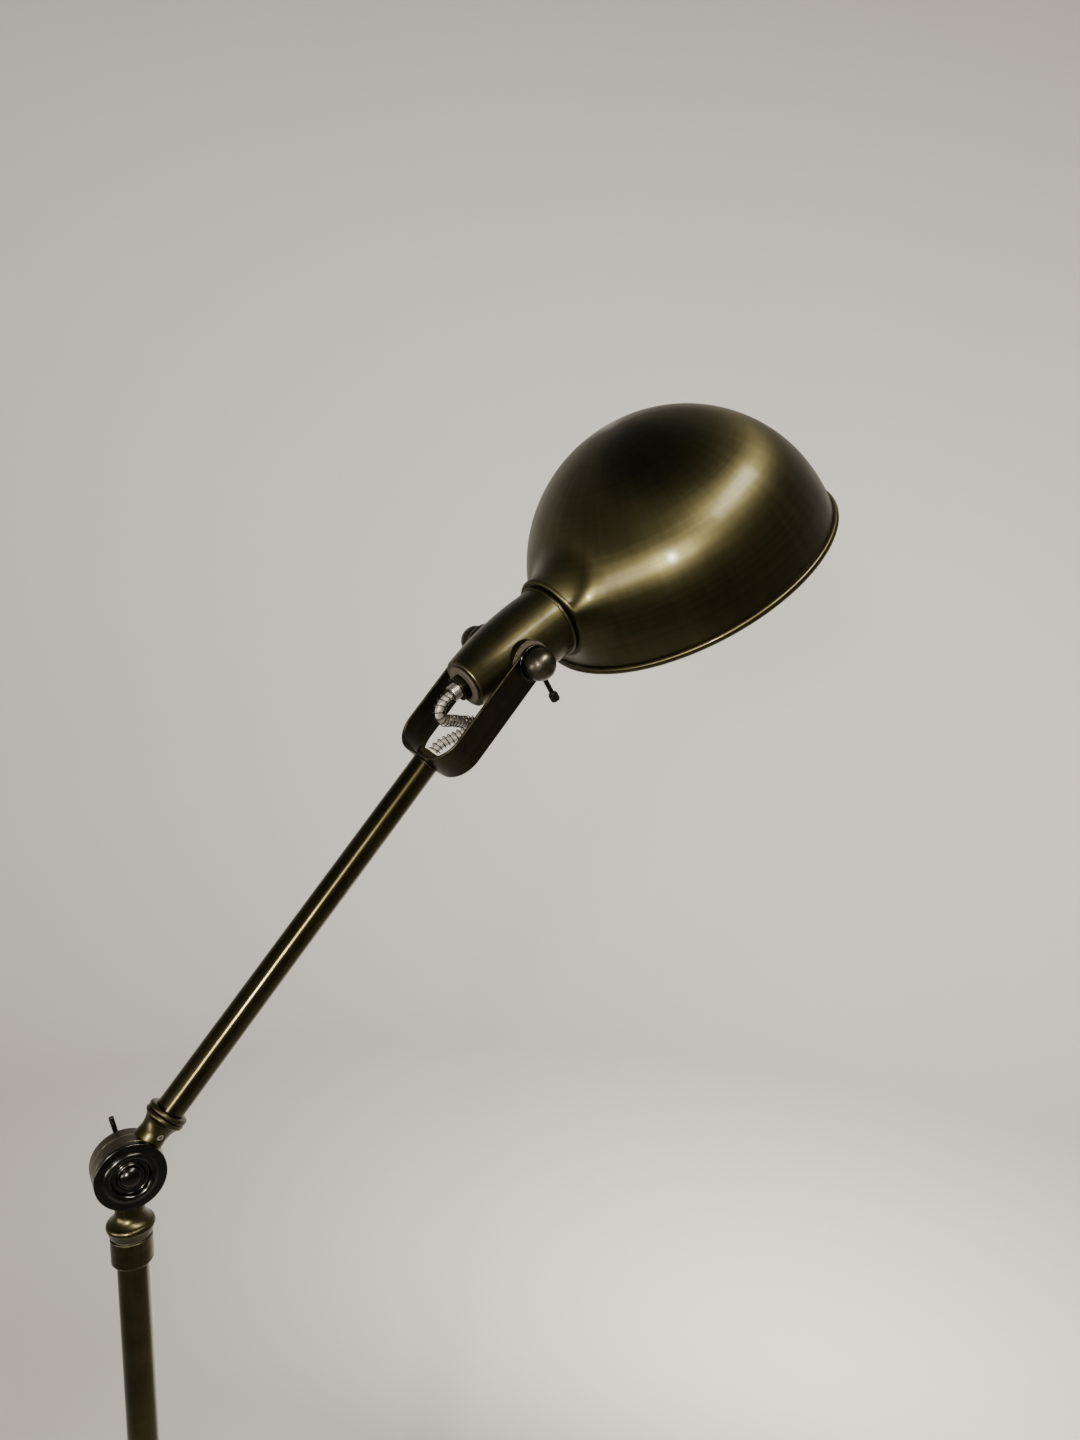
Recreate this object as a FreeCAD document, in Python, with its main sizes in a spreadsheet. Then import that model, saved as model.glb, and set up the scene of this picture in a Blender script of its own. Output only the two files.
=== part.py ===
import FreeCAD, Part
import math
import os

import Sketcher

# Bridge floor lamp: a round weighted base, a straight post, a disc knuckle with a leaning
# arm, a strap fork at the arm's end and a socket cup with a dome shade between its ears.
# Millimetres, +Z up, origin at the centre of the base on the floor. The arm leans to +X,
# and the knuckle turns about Y.

doc = FreeCAD.newDocument("bridge_lamp")
sheet = doc.addObject("Spreadsheet::Sheet", "Sizes")
LEFT = 1
RIGHT = -1


class Size:
    """A length with the formula that gives it from the sheet's cells."""

    def __init__(self, value, text):
        self.value = float(value)
        self.text = text

    def joined(self, other, sign, value):
        text = other.text if isinstance(other, Size) else repr(other)
        return Size(value, "(%s %s %s)" % (self.text, sign, text))

    def __add__(self, other):
        return self.joined(other, "+", self.value + number(other))

    def __sub__(self, other):
        return self.joined(other, "-", self.value - number(other))

    def __mul__(self, other):
        return self.joined(other, "*", self.value * number(other))

    def __truediv__(self, other):
        return self.joined(other, "/", self.value / number(other))

    def __neg__(self):
        return Size(-self.value, "(0 - %s)" % self.text)


def number(thing):
    return thing.value if isinstance(thing, Size) else float(thing)


def root(size):
    return Size(math.sqrt(size.value), "sqrt(%s)" % size.text)


rows = []


def size(alias, value, meaning):
    """One driving dimension: a cell of the sheet with its alias."""
    rows.append(alias)
    sheet.set("A%d" % len(rows), meaning)
    sheet.set("B%d" % len(rows), str(value))
    sheet.setAlias("B%d" % len(rows), alias)
    return Size(value, "Sizes.%s" % alias)


# ---------------------------------------------------------------- fits shared by all pieces
run_gap = size("run_gap", 0.3, "clearance between pieces that turn on each other")
seat_gap = size("seat_gap", 0.1, "clearance between pieces that are screwed together")

# ---------------------------------------------------------------- stance of the lamp
knuckle_rise = size("knuckle_rise", 1220, "height of the knuckle axis above the floor")
arm_reach = size("arm_reach", 350, "knuckle axis to shade pivot")
arm_lean = size("arm_lean", 40.7, "arm's angle from upright, degrees")
fork_turn = size("fork_turn", 13.75, "fork's turn about the arm, degrees")
cup_tilt = size("cup_tilt", 19.5, "cup's tilt from the arm's line, degrees")
shade_roll = size("shade_roll", 9.15, "shade's turn about the cup, degrees")

# ---------------------------------------------------------------- tubes and leads
post_r = size("post_r", 8.3, "post tube, outside radius")
tube_wall = size("tube_wall", 1.5, "wall of the post and arm tubes")
arm_r = size("arm_r", 8.0, "arm tube, outside radius")
lead_r = size("lead_r", 2.5, "flexible lead, radius")
lead_play = size("lead_play", 0.3, "room round the lead in the pieces it passes through")
thread_r = size("thread_r", 5.0, "threaded pipe, outside radius")
lead_bore = lead_r + lead_play

# ---------------------------------------------------------------- base
base_r = size("base_r", 127, "base cover, outside radius")
base_edge = size("base_edge", 15, "height of the base's upright edge")
base_crown = size("base_crown", 23, "height of the base cover at its middle")
base_round = size("base_round", 6, "rounding of the base's top edge")
cover_wall = size("cover_wall", 1.5, "base cover, sheet thickness")
pad_thick = size("pad_thick", 2, "felt pad under the base")
pad_inset = size("pad_inset", 6, "pad's edge inside the cover's edge")
weight_inset = size("weight_inset", 5, "iron weight's edge inside the cover's edge")
weight_top = size("weight_top", 13, "top of the iron weight above the floor")
recess_r = size("recess_r", 17, "recess for the nut under the weight")
recess_top = size("recess_top", 7.5, "top of that recess above the floor")
channel_wide = size("channel_wide", 8, "channel for the lead under the weight")
nut_flat = size("nut_flat", 8, "threaded pipe's nuts, half across flats")
nut_thick = size("nut_thick", 3.5, "threaded pipe's nuts, thickness")
washer_thick = size("washer_thick", 1.2, "steel washers")
base_washer_r = size("base_washer_r", 13, "washer under the base's nut")
inlet_height = size("inlet_height", 7, "height of the cord inlet's axis")
inlet_hole_r = size("inlet_hole_r", 5, "hole in the cover for the inlet bush")
inlet_flange_r = size("inlet_flange_r", 6, "inlet bush, flange radius")
inlet_flange = size("inlet_flange", 2, "inlet bush, flange thickness")
inlet_long = size("inlet_long", 9, "inlet bush, length inside the cover")
foot_r = size("foot_r", 21, "post foot, radius on the base")
foot_rise = size("foot_rise", 26, "post foot, height")
foot_neck_r = size("foot_neck_r", 11.5, "post foot, radius at its top")
foot_sweep = size("foot_sweep", 34, "post foot, radius of its hollow side")

# ---------------------------------------------------------------- post
post_joint_low = size("post_joint_low", 410, "height of the lower tube joint")
post_joint_high = size("post_joint_high", 790, "height of the upper tube joint")
coupler_half = size("coupler_half", 16, "half length of a tube coupler")
joint_ring = size("joint_ring", 0.4, "half height of the visible seam of a tube joint")
ferrule_r = size("ferrule_r", 11.0, "ferrule at the post's top, radius")
ferrule_top = size("ferrule_top", 38.8, "ferrule's top, below the knuckle axis")
ferrule_bottom = size("ferrule_bottom", 55.3, "ferrule's bottom, below the knuckle axis")
ferrule_chamfer = size("ferrule_chamfer", 2.4, "ferrule's lower chamfer")
ferrule_edge = size("ferrule_edge", 0.5, "ferrule's upper chamfer")
ferrule_web = size("ferrule_web", 3, "ferrule's top wall, over the tube's end")
swivel_washer_r = size("swivel_washer_r", 10.2, "washer in the swivel seam, radius")
swivel_washer = size("swivel_washer", 0.7, "washer in the swivel seam, thickness")
swivel_stem_r = size("swivel_stem_r", 5.2, "swivel stem, radius")
swivel_stem = size("swivel_stem", 16, "swivel stem, length below the ferrule's top")
clip_r = size("clip_r", 6.4, "retaining ring on the swivel stem, radius")
clip_thick = size("clip_thick", 1.6, "retaining ring on the swivel stem, thickness")

# ---------------------------------------------------------------- knuckle
drum_r = size("drum_r", 18.45, "knuckle discs, radius")
drum_half = size("drum_half", 7.7, "thickness of each knuckle disc, with its share of the seam")
drum_edge = size("drum_edge", 0.7, "chamfer of a knuckle disc")
seam = size("seam", 0.15, "half of the seam between the two knuckle discs")
neck_r = size("neck_r", 7.7, "post side neck, radius at the disc")
bead_r = size("bead_r", 12.7, "post side neck, radius of its bead")
bead_down = size("bead_down", 32.0, "bead's middle, below the knuckle axis")
neck_foot_r = size("neck_foot_r", 10.8, "post side neck, radius at the seam")
neck_waist = size("neck_waist", 24.5, "post side neck's waist, below the knuckle axis")
neck_sweep = size("neck_sweep", 8.5, "post side neck, radius of its hollow")
bead_round = size("bead_round", 3.0, "rounding of the post side neck's bead")
arm_neck_r = size("arm_neck_r", 8.2, "arm side neck, radius at the disc")
arm_neck_waist = size("arm_neck_waist", 19.5, "end of the arm side neck's straight stretch")
ring_r = size("ring_r", 11.7, "two rings at the arm tube's foot, radius")
ring_start = size("ring_start", 29.4, "rings' start along the arm")
ring_high = size("ring_high", 3.0, "height of one ring")
ring_round = size("ring_round", 1.56, "rings, radius of their rounding")
ring_sweep = size("ring_sweep", 13, "arm side neck, radius of its hollow")
socket_depth = size("socket_depth", 4.5, "depth to which the arm tube sits in the rings")
stud_seat = size("stud_seat", 20, "start of the arm's threaded stud along the arm")
stud_long = size("stud_long", 24, "arm's threaded stud, length")
grub_r = size("grub_r", 2.0, "grub screw, radius")
grub_along = size("grub_along", 22.5, "grub screw, place along the arm")
grub_turn = size("grub_turn", 17, "grub screw, angle round the neck, degrees")
grub_sunk = size("grub_sunk", 1.0, "grub screw, depth below the neck's surface")
grub_socket_r = size("grub_socket_r", 1.1, "grub screw's hexagon socket, corner radius")
cap_deep = size("cap_deep", 3.9, "knuckle cap, thickness of its rim")
cap_land_r = size("cap_land_r", 13.7, "knuckle cap, inner radius of the flat rim")
cap_ridge_r = size("cap_ridge_r", 9.9, "knuckle cap, inner radius of the raised ridge")
cap_ridge = size("cap_ridge", 1.1, "knuckle cap, height of the ridge over the rim")
cap_well = size("cap_well", 1.9, "knuckle cap, depth of the well under the rim")
cap_hub_r = size("cap_hub_r", 7.6, "knuckle cap, radius of the disc in the well")
cap_edge = size("cap_edge", 0.9, "knuckle cap, rounding of its rim")
dome_r = size("dome_r", 5.6, "domed screw, radius")
dome_high = size("dome_high", 3.4, "domed screw, height")
dome_ball = size("dome_ball", 6.6, "domed screw, radius of its crown")
dome_side = size("dome_side", 1.3, "domed screw, height of its upright side")
pin_r = size("pin_r", 3.0, "pivot screws, radius")
clamp_r = size("clamp_r", 6.2, "clamp hub, radius")
clamp_long = size("clamp_long", 8.6, "clamp hub, length")
clamp_end_r = size("clamp_end_r", 4.3, "clamp hub, radius of its flat end")
bar_out = size("bar_out", 4.3, "clamp bar's axis, behind the knuckle")
bar_r = size("bar_r", 1.4, "clamp bar, radius")
bar_half = size("bar_half", 24.8, "clamp bar, half length")
bar_lean = size("bar_lean", 12.5, "clamp bar's angle from upright, degrees")

# ---------------------------------------------------------------- fork
fork_half = size("fork_half", 25.3, "fork's outer face from its middle")
fork_thick = size("fork_thick", 1.6, "fork's strap thickness")
fork_wide = size("fork_wide", 21, "fork's strap width")
fork_drop = size("fork_drop", 82, "fork's underside, below the shade pivot")
fork_bend = size("fork_bend", 17.5, "fork's outer bend radius")
plug_long = size("plug_long", 18, "threaded plug in the arm tube's end, length")
plug_rim = size("plug_rim", 1.2, "plug's rim over the tube's end")
pipe_down = size("pipe_down", 12, "fork's threaded pipe, length below the fork")
bush_rim_r = size("bush_rim_r", 4.6, "pale bush round the lead, radius")
bush_rim = size("bush_rim", 1.4, "pale bush, height over the pipe")
bush_sleeve = size("bush_sleeve", 5, "pale bush, length in the pipe")
bush_wall = size("bush_wall", 0.6, "pale bush, wall in the pipe")
pipe_wall = size("pipe_wall", 1.0, "threaded pipes, wall")

# ---------------------------------------------------------------- shade pivot
stud_head_r = size("stud_head_r", 5.0, "pivot stud's head, radius")
stud_head = size("stud_head", 1.8, "pivot stud's head, thickness")
stud_inset = size("stud_inset", 0.8, "pivot stud's head, below the cup's inner wall")
boss_r = size("boss_r", 13, "flat bosses on the cup's sides, radius")
fibre_thick = size("fibre_thick", 0.7, "fibre washers between cup and fork")
fibre_r = size("fibre_r", 12.4, "fibre washers, radius")
knob_washer_r = size("knob_washer_r", 11, "washers under the ball nuts, radius")
knob_washer = size("knob_washer", 1.2, "washers under the ball nuts, thickness")
ball_r = size("ball_r", 9.7, "ball nuts, radius")
ball_out = size("ball_out", 30.6, "ball nuts' centres from the fork's middle")
ball_collar_r = size("ball_collar_r", 8.6, "ball nuts' collar, radius")
ball_collar = size("ball_collar", 1.3, "ball nuts' collar, thickness")
ball_bore = size("ball_bore", 7.5, "depth of the ball nuts' bore")

# ---------------------------------------------------------------- socket cup
cup_rear = size("cup_rear", 34.2, "cup's rear face, behind the pivot")
cup_front = size("cup_front", 36.2, "cup's front edge, ahead of the pivot")
cup_rear_r = size("cup_rear_r", 15.6, "cup's radius at its rear")
cup_mid_r = size("cup_mid_r", 21.3, "cup's radius at the pivot")
cup_front_r = size("cup_front_r", 22.8, "cup's radius at its front")
cup_wall = size("cup_wall", 1.6, "cup's wall")
cup_sweep = size("cup_sweep", 240, "cup's side, radius of its curve")
cup_lip_r = size("cup_lip_r", 1.3, "cup's rolled front lip, half its height")
cup_lip_round = size("cup_lip_round", 1.33, "cup's rolled front lip, radius of its roll")
cup_edge = size("cup_edge", 0.8, "cup's rear edge bevel")
rear_washer_r = size("rear_washer_r", 12.3, "washer on the cup's rear, radius")
rear_washer = size("rear_washer", 1.2, "washer on the cup's rear, thickness")
rear_nut_flat = size("rear_nut_flat", 7.5, "nut on the cup's rear, half across flats")
rear_nut = size("rear_nut", 4.5, "nut on the cup's rear, thickness")
pipe_tail = size("pipe_tail", 4.9, "cup's threaded pipe, length behind the nut")
switch_along = size("switch_along", 14, "switch stem, place along the cup")
switch_turn = size("switch_turn", 14, "switch stem, angle round the cup, degrees")
switch_stem_r = size("switch_stem_r", 1.6, "switch stem, radius")
switch_out = size("switch_out", 38.6, "switch knob's start from the cup's axis")
switch_knob_r = size("switch_knob_r", 3.0, "switch knob, radius")
switch_knob = size("switch_knob", 5.8, "switch knob, length")
switch_edge = size("switch_edge", 0.5, "switch knob, end chamfer")

# ---------------------------------------------------------------- lampholder and bulb
holder_r = size("holder_r", 16, "lampholder, outside radius")
holder_rear = size("holder_rear", 5.5, "lampholder's rear, ahead of the pivot")
holder_floor = size("holder_floor", 17, "lampholder's inner floor, ahead of the pivot")
holder_mouth = size("holder_mouth", 47, "lampholder's mouth, ahead of the pivot")
holder_wall = size("holder_wall", 1.9, "lampholder's wall")
collar_r = size("collar_r", 20.6, "lampholder's collar, radius")
collar_thick = size("collar_thick", 3, "lampholder's collar, thickness")
shell_wall = size("shell_wall", 0.5, "screw shell's wall")
shell_rear = size("shell_rear", 22, "screw shell's rear, ahead of the pivot")
contact_r = size("contact_r", 3.5, "centre contact, radius")
contact_thick = size("contact_thick", 1.2, "centre contact, thickness")
lamp_cap_r = size("lamp_cap_r", 12.9, "bulb's screw cap, radius")
lamp_cap_rear = size("lamp_cap_rear", 23, "bulb's screw cap, rear end ahead of the pivot")
lamp_tip_r = size("lamp_tip_r", 4.5, "bulb's centre tip, radius")
lamp_tip = size("lamp_tip", 4.2, "bulb's insulated end, height")
glass_start = size("glass_start", 51, "bulb's glass, start ahead of the pivot")
glass_neck_r = size("glass_neck_r", 13.6, "bulb's glass, neck radius")
glass_r = size("glass_r", 29.5, "bulb's glass, greatest radius")
glass_mid = size("glass_mid", 118, "bulb's glass, greatest radius' place")
glass_sweep = size("glass_sweep", 75, "bulb's glass, radius of its hollow neck")
glass_shoulder_r = size("glass_shoulder_r", 23, "bulb's glass, radius where its neck meets its ball")
glass_shoulder = size("glass_shoulder", 21.2, "that place, behind the greatest radius")
glass_round = size("glass_round", 31.3, "bulb's glass, radius of its rear half")
glass_wall = size("glass_wall", 1, "bulb's wall, of its glass and its cap")

# ---------------------------------------------------------------- shade
shade_r = size("shade_r", 102.4, "dome, outside radius")
shade_wall = size("shade_wall", 1.2, "dome, sheet thickness")
shade_aside = size("shade_aside", 24.5, "dome's centre, aside from the cup's axis")
shade_ahead = size("shade_ahead", 145.3, "dome's centre, ahead of the pivot")
shade_slope = size("shade_slope", 6.5, "rim's slope against the cup's axis, degrees")
rim_down = size("rim_down", 7.6, "rim's plane, below the dome's centre")
rim_r = size("rim_r", 105.1, "rolled rim, outside radius")
rim_high = size("rim_high", 5.2, "rolled rim, height")
rim_round = size("rim_round", 3.2, "rolled rim, radius of its outer side")
collar_neck_r = size("collar_neck_r", 31, "shade's neck, outside radius")
collar_round = size("collar_round", 8, "shade's neck, rounding of its shoulder")
collar_blend = size("collar_blend", 7, "blend between the shade's neck and its dome")
shade_ring_r = size("shade_ring_r", 21, "ring that holds the shade, radius")
shade_ring = size("shade_ring", 6, "ring that holds the shade, height")

# ---------------------------------------------------------------- spring guarded lead
guard_r = size("guard_r", 3.4, "spring's winding radius")
guard_wire_r = size("guard_wire_r", 0.35, "spring's wire radius")
guard_pitch = size("guard_pitch", 3.1, "spring's rise per turn")
loop_bend = size("loop_bend", 6.0, "bends of the lead's loop")
easy_bend = size("easy_bend", 9, "slight bends at the lead's two ends")
lead_tuck = size("lead_tuck", 3.5, "length of lead inside the pipe and the bush")
loop_rear = (size("loop_rear_x", -16.6, "lead's first corner in the fork's frame"),
             size("loop_rear_y", -2.5, "the same, towards the far ear"),
             size("loop_rear_z", -61, "the same, along the arm"))
loop_right = (size("loop_right_x", 19.2, "lead's second corner in the fork's frame"),
              size("loop_right_y", 8.6, "the same, towards the far ear"),
              size("loop_right_z", -42, "the same, along the arm"))
loop_near = (size("loop_near_x", 11.6, "lead's third corner in the fork's frame"),
             size("loop_near_y", -9, "the same, towards the far ear"),
             size("loop_near_z", -40.6, "the same, along the arm"))

doc.recompute()


# ---------------------------------------------------------------- drawing helpers
def bind(thing, **sizes):
    for name, formula in sizes.items():
        thing.setExpression(name, formula.text)


def arc_between(start, end, radius, turn):
    """The short arc from start to end that turns left or right, as sketch geometry."""
    chord = end - start
    middle = (start + end) * 0.5
    aside = FreeCAD.Vector(-chord.y, chord.x, 0).normalize()
    reach = math.sqrt(radius ** 2 - (chord.Length / 2) ** 2)
    centre = middle + aside * reach * turn
    first, last = (start, end) if turn == LEFT else (end, start)
    angles = [math.atan2(p.y - centre.y, p.x - centre.x) for p in (first, last)]
    circle = Part.Circle(centre, FreeCAD.Vector(0, 0, 1), radius)
    return Part.ArcOfCircle(circle, angles[0], angles[1])


def place_corner(sketch, geo, end, corner):
    """Ties one corner to the sketch's axes: 0 lies on the axis itself."""
    for kind, axis, at in (("DistanceX", -2, corner[0]), ("DistanceY", -1, corner[1])):
        if isinstance(at, Size):
            index = sketch.addConstraint(Sketcher.Constraint(kind, -1, 1, geo, end, at.value))
            sketch.setExpression("Constraints[%d]" % index, at.text)
        else:
            sketch.addConstraint(Sketcher.Constraint("PointOnObject", geo, end, axis))


def outline(body, role, corners):
    """A closed outline on one of the body's planes. A corner is (across, up), or
    (across, up, radius, turn) where an arc leads to it from the corner before."""
    plane = [f for f in body.Origin.OriginFeatures if f.Role == role][0]
    sketch = body.newObject("Sketcher::SketchObject", "Outline")
    sketch.AttachmentSupport = [(plane, "")]
    sketch.MapMode = "FlatFace"
    points = [FreeCAD.Vector(number(c[0]), number(c[1]), 0) for c in corners]
    ends = []
    for i, corner in enumerate(corners):
        start, stop = points[i - 1], points[i]
        if len(corner) == 4:
            radius, turn = corner[2], corner[3]
            geo = sketch.addGeometry(arc_between(start, stop, radius.value, turn), False)
            index = sketch.addConstraint(Sketcher.Constraint("Radius", geo, radius.value))
            sketch.setExpression("Constraints[%d]" % index, radius.text)
            ends.append((geo, 1, 2) if turn == LEFT else (geo, 2, 1))
        else:
            geo = sketch.addGeometry(Part.LineSegment(start, stop), False)
            ends.append((geo, 1, 2))
    for i, corner in enumerate(corners):
        geo, _, last = ends[i]
        after, first, _ = ends[(i + 1) % len(ends)]
        sketch.addConstraint(Sketcher.Constraint("Coincident", geo, last, after, first))
        place_corner(sketch, geo, last, corner)
    return sketch


def turned(corners, role="XZ_Plane", name="Turned"):
    """A body turned about the upright axis of its plane: Z on XZ_Plane, Y on XY_Plane."""
    body = doc.addObject("PartDesign::Body", name)
    sketch = outline(body, role, corners)
    turn = body.newObject("PartDesign::Revolution", "Turn")
    turn.Profile = sketch
    turn.ReferenceAxis = (sketch, ["V_Axis"])
    turn.Angle = 360
    body.Tip = turn
    return body


def ring(inner, outer, low, high, role="XZ_Plane", name="Ring"):
    """A plain turned ring or tube between two radii and two heights."""
    corners = [(inner, low), (outer, low), (outer, high), (inner, high)]
    return turned(corners, role, name)


def rod(radius, low, high, spot=None, name="Rod"):
    """A round bar along its own Z, from low to high, moved to spot afterwards."""
    bar = doc.addObject("Part::Cylinder", name)
    bind(bar, Radius=radius, Height=high - low)
    base = FreeCAD.Placement(FreeCAD.Vector(0, 0, low.value), FreeCAD.Rotation())
    bar.Placement = spot.multiply(base) if spot else base
    return bar


def block(sizes, corner, name="Block"):
    """A box with its lowest corner at the given place."""
    box = doc.addObject("Part::Box", name)
    bind(box, Length=sizes[0], Width=sizes[1], Height=sizes[2])
    box.Placement.Base = FreeCAD.Vector(*[number(c) for c in corner])
    return box


def hexagon(half_flats, low, high, name="Hexagon"):
    """A six-sided bar along Z, by half its width across flats."""
    prism = doc.addObject("Part::Prism", name)
    prism.Polygon = 6
    bind(prism, Circumradius=half_flats / root(Size(0.75, "0.75")), Height=high - low)
    prism.Placement.Base = FreeCAD.Vector(0, 0, low.value)
    return prism


def cut(base, *tools):
    result = base
    for tool in tools:
        step = doc.addObject("Part::Cut", "Cut")
        step.Base = result
        step.Tool = tool
        result = step
    return result


def fuse(*shapes):
    joined = doc.addObject("Part::MultiFuse", "Joined")
    joined.Shapes = list(shapes)
    joined.Refine = False
    return joined


def common(base, tool):
    step = doc.addObject("Part::Common", "Shared")
    step.Base = base
    step.Tool = tool
    return step


def turn_about(axis, degrees):
    return FreeCAD.Rotation(FreeCAD.Vector(*axis), number(degrees))


X_AXIS = (1, 0, 0)
Y_AXIS = (0, 1, 0)
Z_AXIS = (0, 0, 1)


def at(point=(0, 0, 0), rotation=None):
    place = FreeCAD.Vector(*[number(p) for p in point])
    return FreeCAD.Placement(place, rotation or FreeCAD.Rotation())


# ---------------------------------------------------------------- frames, from foot to shade
stand = at()
knuckle = at((0, 0, knuckle_rise))
arm = knuckle.multiply(at(rotation=turn_about(Y_AXIS, arm_lean)))
fork = arm.multiply(at((0, 0, arm_reach), turn_about(Z_AXIS, fork_turn)))
head = fork.multiply(at(rotation=turn_about(Y_AXIS, cup_tilt)))
shade_frame = head.multiply(at(rotation=turn_about(Z_AXIS, -shade_roll)))

nodes = {}


def keep(label, thing, frame=stand):
    """Names a finished piece and puts it in its frame."""
    thing.Label = label
    thing.Placement = frame.multiply(thing.Placement)
    nodes[label] = thing


ZERO = size("zero", 0, "the floor, and each frame's own origin")


# ================================================================ base
def make_base():
    pipe_low = recess_top - washer_thick - nut_thick - seat_gap * 2
    low_edge = pad_thick / 2
    inner = cover_wall
    cover = turned([
        (thread_r + seat_gap, base_crown),
        (thread_r + seat_gap, base_crown - inner),
        (foot_r, base_crown - inner),
        (base_r - base_round, base_edge - inner),
        (base_r - inner, base_edge - base_round, base_round - inner, RIGHT),
        (base_r - inner, low_edge),
        (base_r, low_edge),
        (base_r, base_edge - base_round),
        (base_r - base_round, base_edge, base_round, LEFT),
        (foot_r, base_crown),
    ], name="Cover")
    sideways = at((-base_r, 0, inlet_height), turn_about(Y_AXIS, 90))
    inlet_cut = rod(inlet_hole_r + seat_gap, -inlet_long, inlet_long, sideways)
    keep("base_cover", cut(cover, inlet_cut))

    keep("base_pad", rod(base_r - pad_inset, ZERO, pad_thick))

    weight = rod(base_r - weight_inset, pad_thick + seat_gap, weight_top)
    bore = rod(thread_r + seat_gap, ZERO, base_crown)
    recess = rod(recess_r, ZERO, recess_top)
    channel = block((base_r, channel_wide, inlet_height + channel_wide / 2),
                    (-base_r, -channel_wide / 2, ZERO))
    seat = rod(inlet_flange_r + lead_play, -inlet_long - inlet_flange, inlet_long + inlet_flange,
               sideways)
    keep("base_weight", cut(weight, bore, recess, channel, seat))

    keep("base_washer", ring(thread_r + seat_gap, base_washer_r, recess_top - washer_thick,
                             recess_top))
    nut_top = recess_top - washer_thick
    nut = hexagon(nut_flat, nut_top - nut_thick, nut_top)
    keep("base_nut", cut(nut, rod(thread_r, ZERO, base_crown)))
    keep("base_pipe", ring(thread_r - pipe_wall, thread_r, pipe_low,
                           base_crown + foot_rise - seat_gap))

    bush = turned([
        (lead_bore, -inlet_flange),
        (inlet_flange_r, -inlet_flange),
        (inlet_flange_r, ZERO),
        (inlet_hole_r, ZERO),
        (inlet_hole_r, inlet_long),
        (lead_bore, inlet_long),
    ], name="InletBush")
    keep("cord_inlet_bush", bush, stand.multiply(sideways))

    foot_top = base_crown + foot_rise
    foot = turned([
        (thread_r + seat_gap, base_crown),
        (foot_r, base_crown),
        (foot_r, base_crown + base_round / 2),
        (foot_neck_r, foot_top - base_round / 2, foot_sweep, RIGHT),
        (foot_neck_r, foot_top),
        (post_r, foot_top),
        (post_r, foot_top - base_round),
        (thread_r + seat_gap, foot_top - base_round),
    ], name="Foot")
    keep("post_foot", foot)
    return foot_top - base_round


# ================================================================ post
def make_post(post_bottom):
    tube_bore = post_r - tube_wall
    tube_top = knuckle_rise - ferrule_top - ferrule_web
    joints = (post_joint_low, post_joint_high)
    spans = (
        ("post_lower_tube", post_bottom, joints[0] - joint_ring),
        ("post_middle_tube", joints[0] + joint_ring, joints[1] - joint_ring),
        ("post_upper_tube", joints[1] + joint_ring, tube_top),
    )
    for label, low, high in spans:
        keep(label, ring(tube_bore, post_r, low, high))

    couplers = []
    for height in joints:
        couplers.append(turned([
            (lead_bore, height - coupler_half),
            (tube_bore - seat_gap, height - coupler_half),
            (tube_bore - seat_gap, height - joint_ring),
            (post_r - joint_ring, height - joint_ring),
            (post_r - joint_ring, height + joint_ring),
            (tube_bore - seat_gap, height + joint_ring),
            (tube_bore - seat_gap, height + coupler_half),
            (lead_bore, height + coupler_half),
        ], name="Coupler"))
    keep("tube_couplers", fuse(*couplers))

    insert = ring(thread_r + seat_gap, tube_bore - seat_gap, post_bottom, post_bottom + coupler_half)
    keep("foot_insert", insert)

    top = knuckle_rise - ferrule_top
    low = knuckle_rise - ferrule_bottom
    ferrule = turned([
        (swivel_stem_r + run_gap, top - ferrule_web),
        (post_r + seat_gap, top - ferrule_web),
        (post_r + seat_gap, low),
        (ferrule_r - ferrule_chamfer, low),
        (ferrule_r, low + ferrule_chamfer),
        (ferrule_r, top - ferrule_edge),
        (ferrule_r - ferrule_edge, top),
        (swivel_stem_r + run_gap, top),
    ], name="Ferrule")
    keep("post_ferrule", ferrule)
    stem_low = top - swivel_stem
    keep("post_lead", rod(lead_r, recess_top, stem_low - run_gap))


# ================================================================ knuckle
def disc(inside, face, edge, name):
    """One half of the knuckle's drum: a disc on the Y axis with a chamfered outer face."""
    return turned([
        (0, inside),
        (drum_r, inside),
        (drum_r, face - edge),
        (drum_r - drum_edge, face),
        (0, face),
    ], "XY_Plane", name)


def across(radius, low, high):
    """A round bar along Y, from low to high."""
    return rod(radius, low, high, at(rotation=turn_about(X_AXIS, -90)))


def make_post_knuckle():
    washer_low = -ferrule_top
    neck_low = washer_low + swivel_washer + seat_gap
    stem_low = -ferrule_top - swivel_stem
    stem = turned([
        (0, -neck_waist / 2),
        (0, neck_low + lead_bore),
        (lead_bore, neck_low),
        (lead_bore, stem_low),
        (swivel_stem_r, stem_low),
        (swivel_stem_r, neck_low),
        (neck_foot_r, neck_low),
        (bead_r, -bead_down - bead_round / 4),
        (bead_r - bead_round / 4, -bead_down + bead_round / 2, bead_round, LEFT),
        (neck_r, -neck_waist, neck_sweep, RIGHT),
        (neck_r, -neck_waist / 2),
    ], name="PostNeck")
    plate = disc(seam, drum_half, drum_edge, "RearDisc")
    relief = across(drum_r + run_gap, -drum_r, seam)
    whole = fuse(cut(stem, relief), plate)
    keep("post_knuckle", cut(whole, across(pin_r + run_gap, -drum_r, drum_r)), knuckle)

    washer = ring(swivel_stem_r + seat_gap, swivel_washer_r, washer_low + seat_gap,
                  washer_low + swivel_washer)
    keep("swivel_washer", washer, knuckle)
    clip_low = stem_low + seat_gap
    clip = ring(swivel_stem_r, clip_r, clip_low, clip_low + clip_thick)
    keep("swivel_clip", clip, knuckle)


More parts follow.
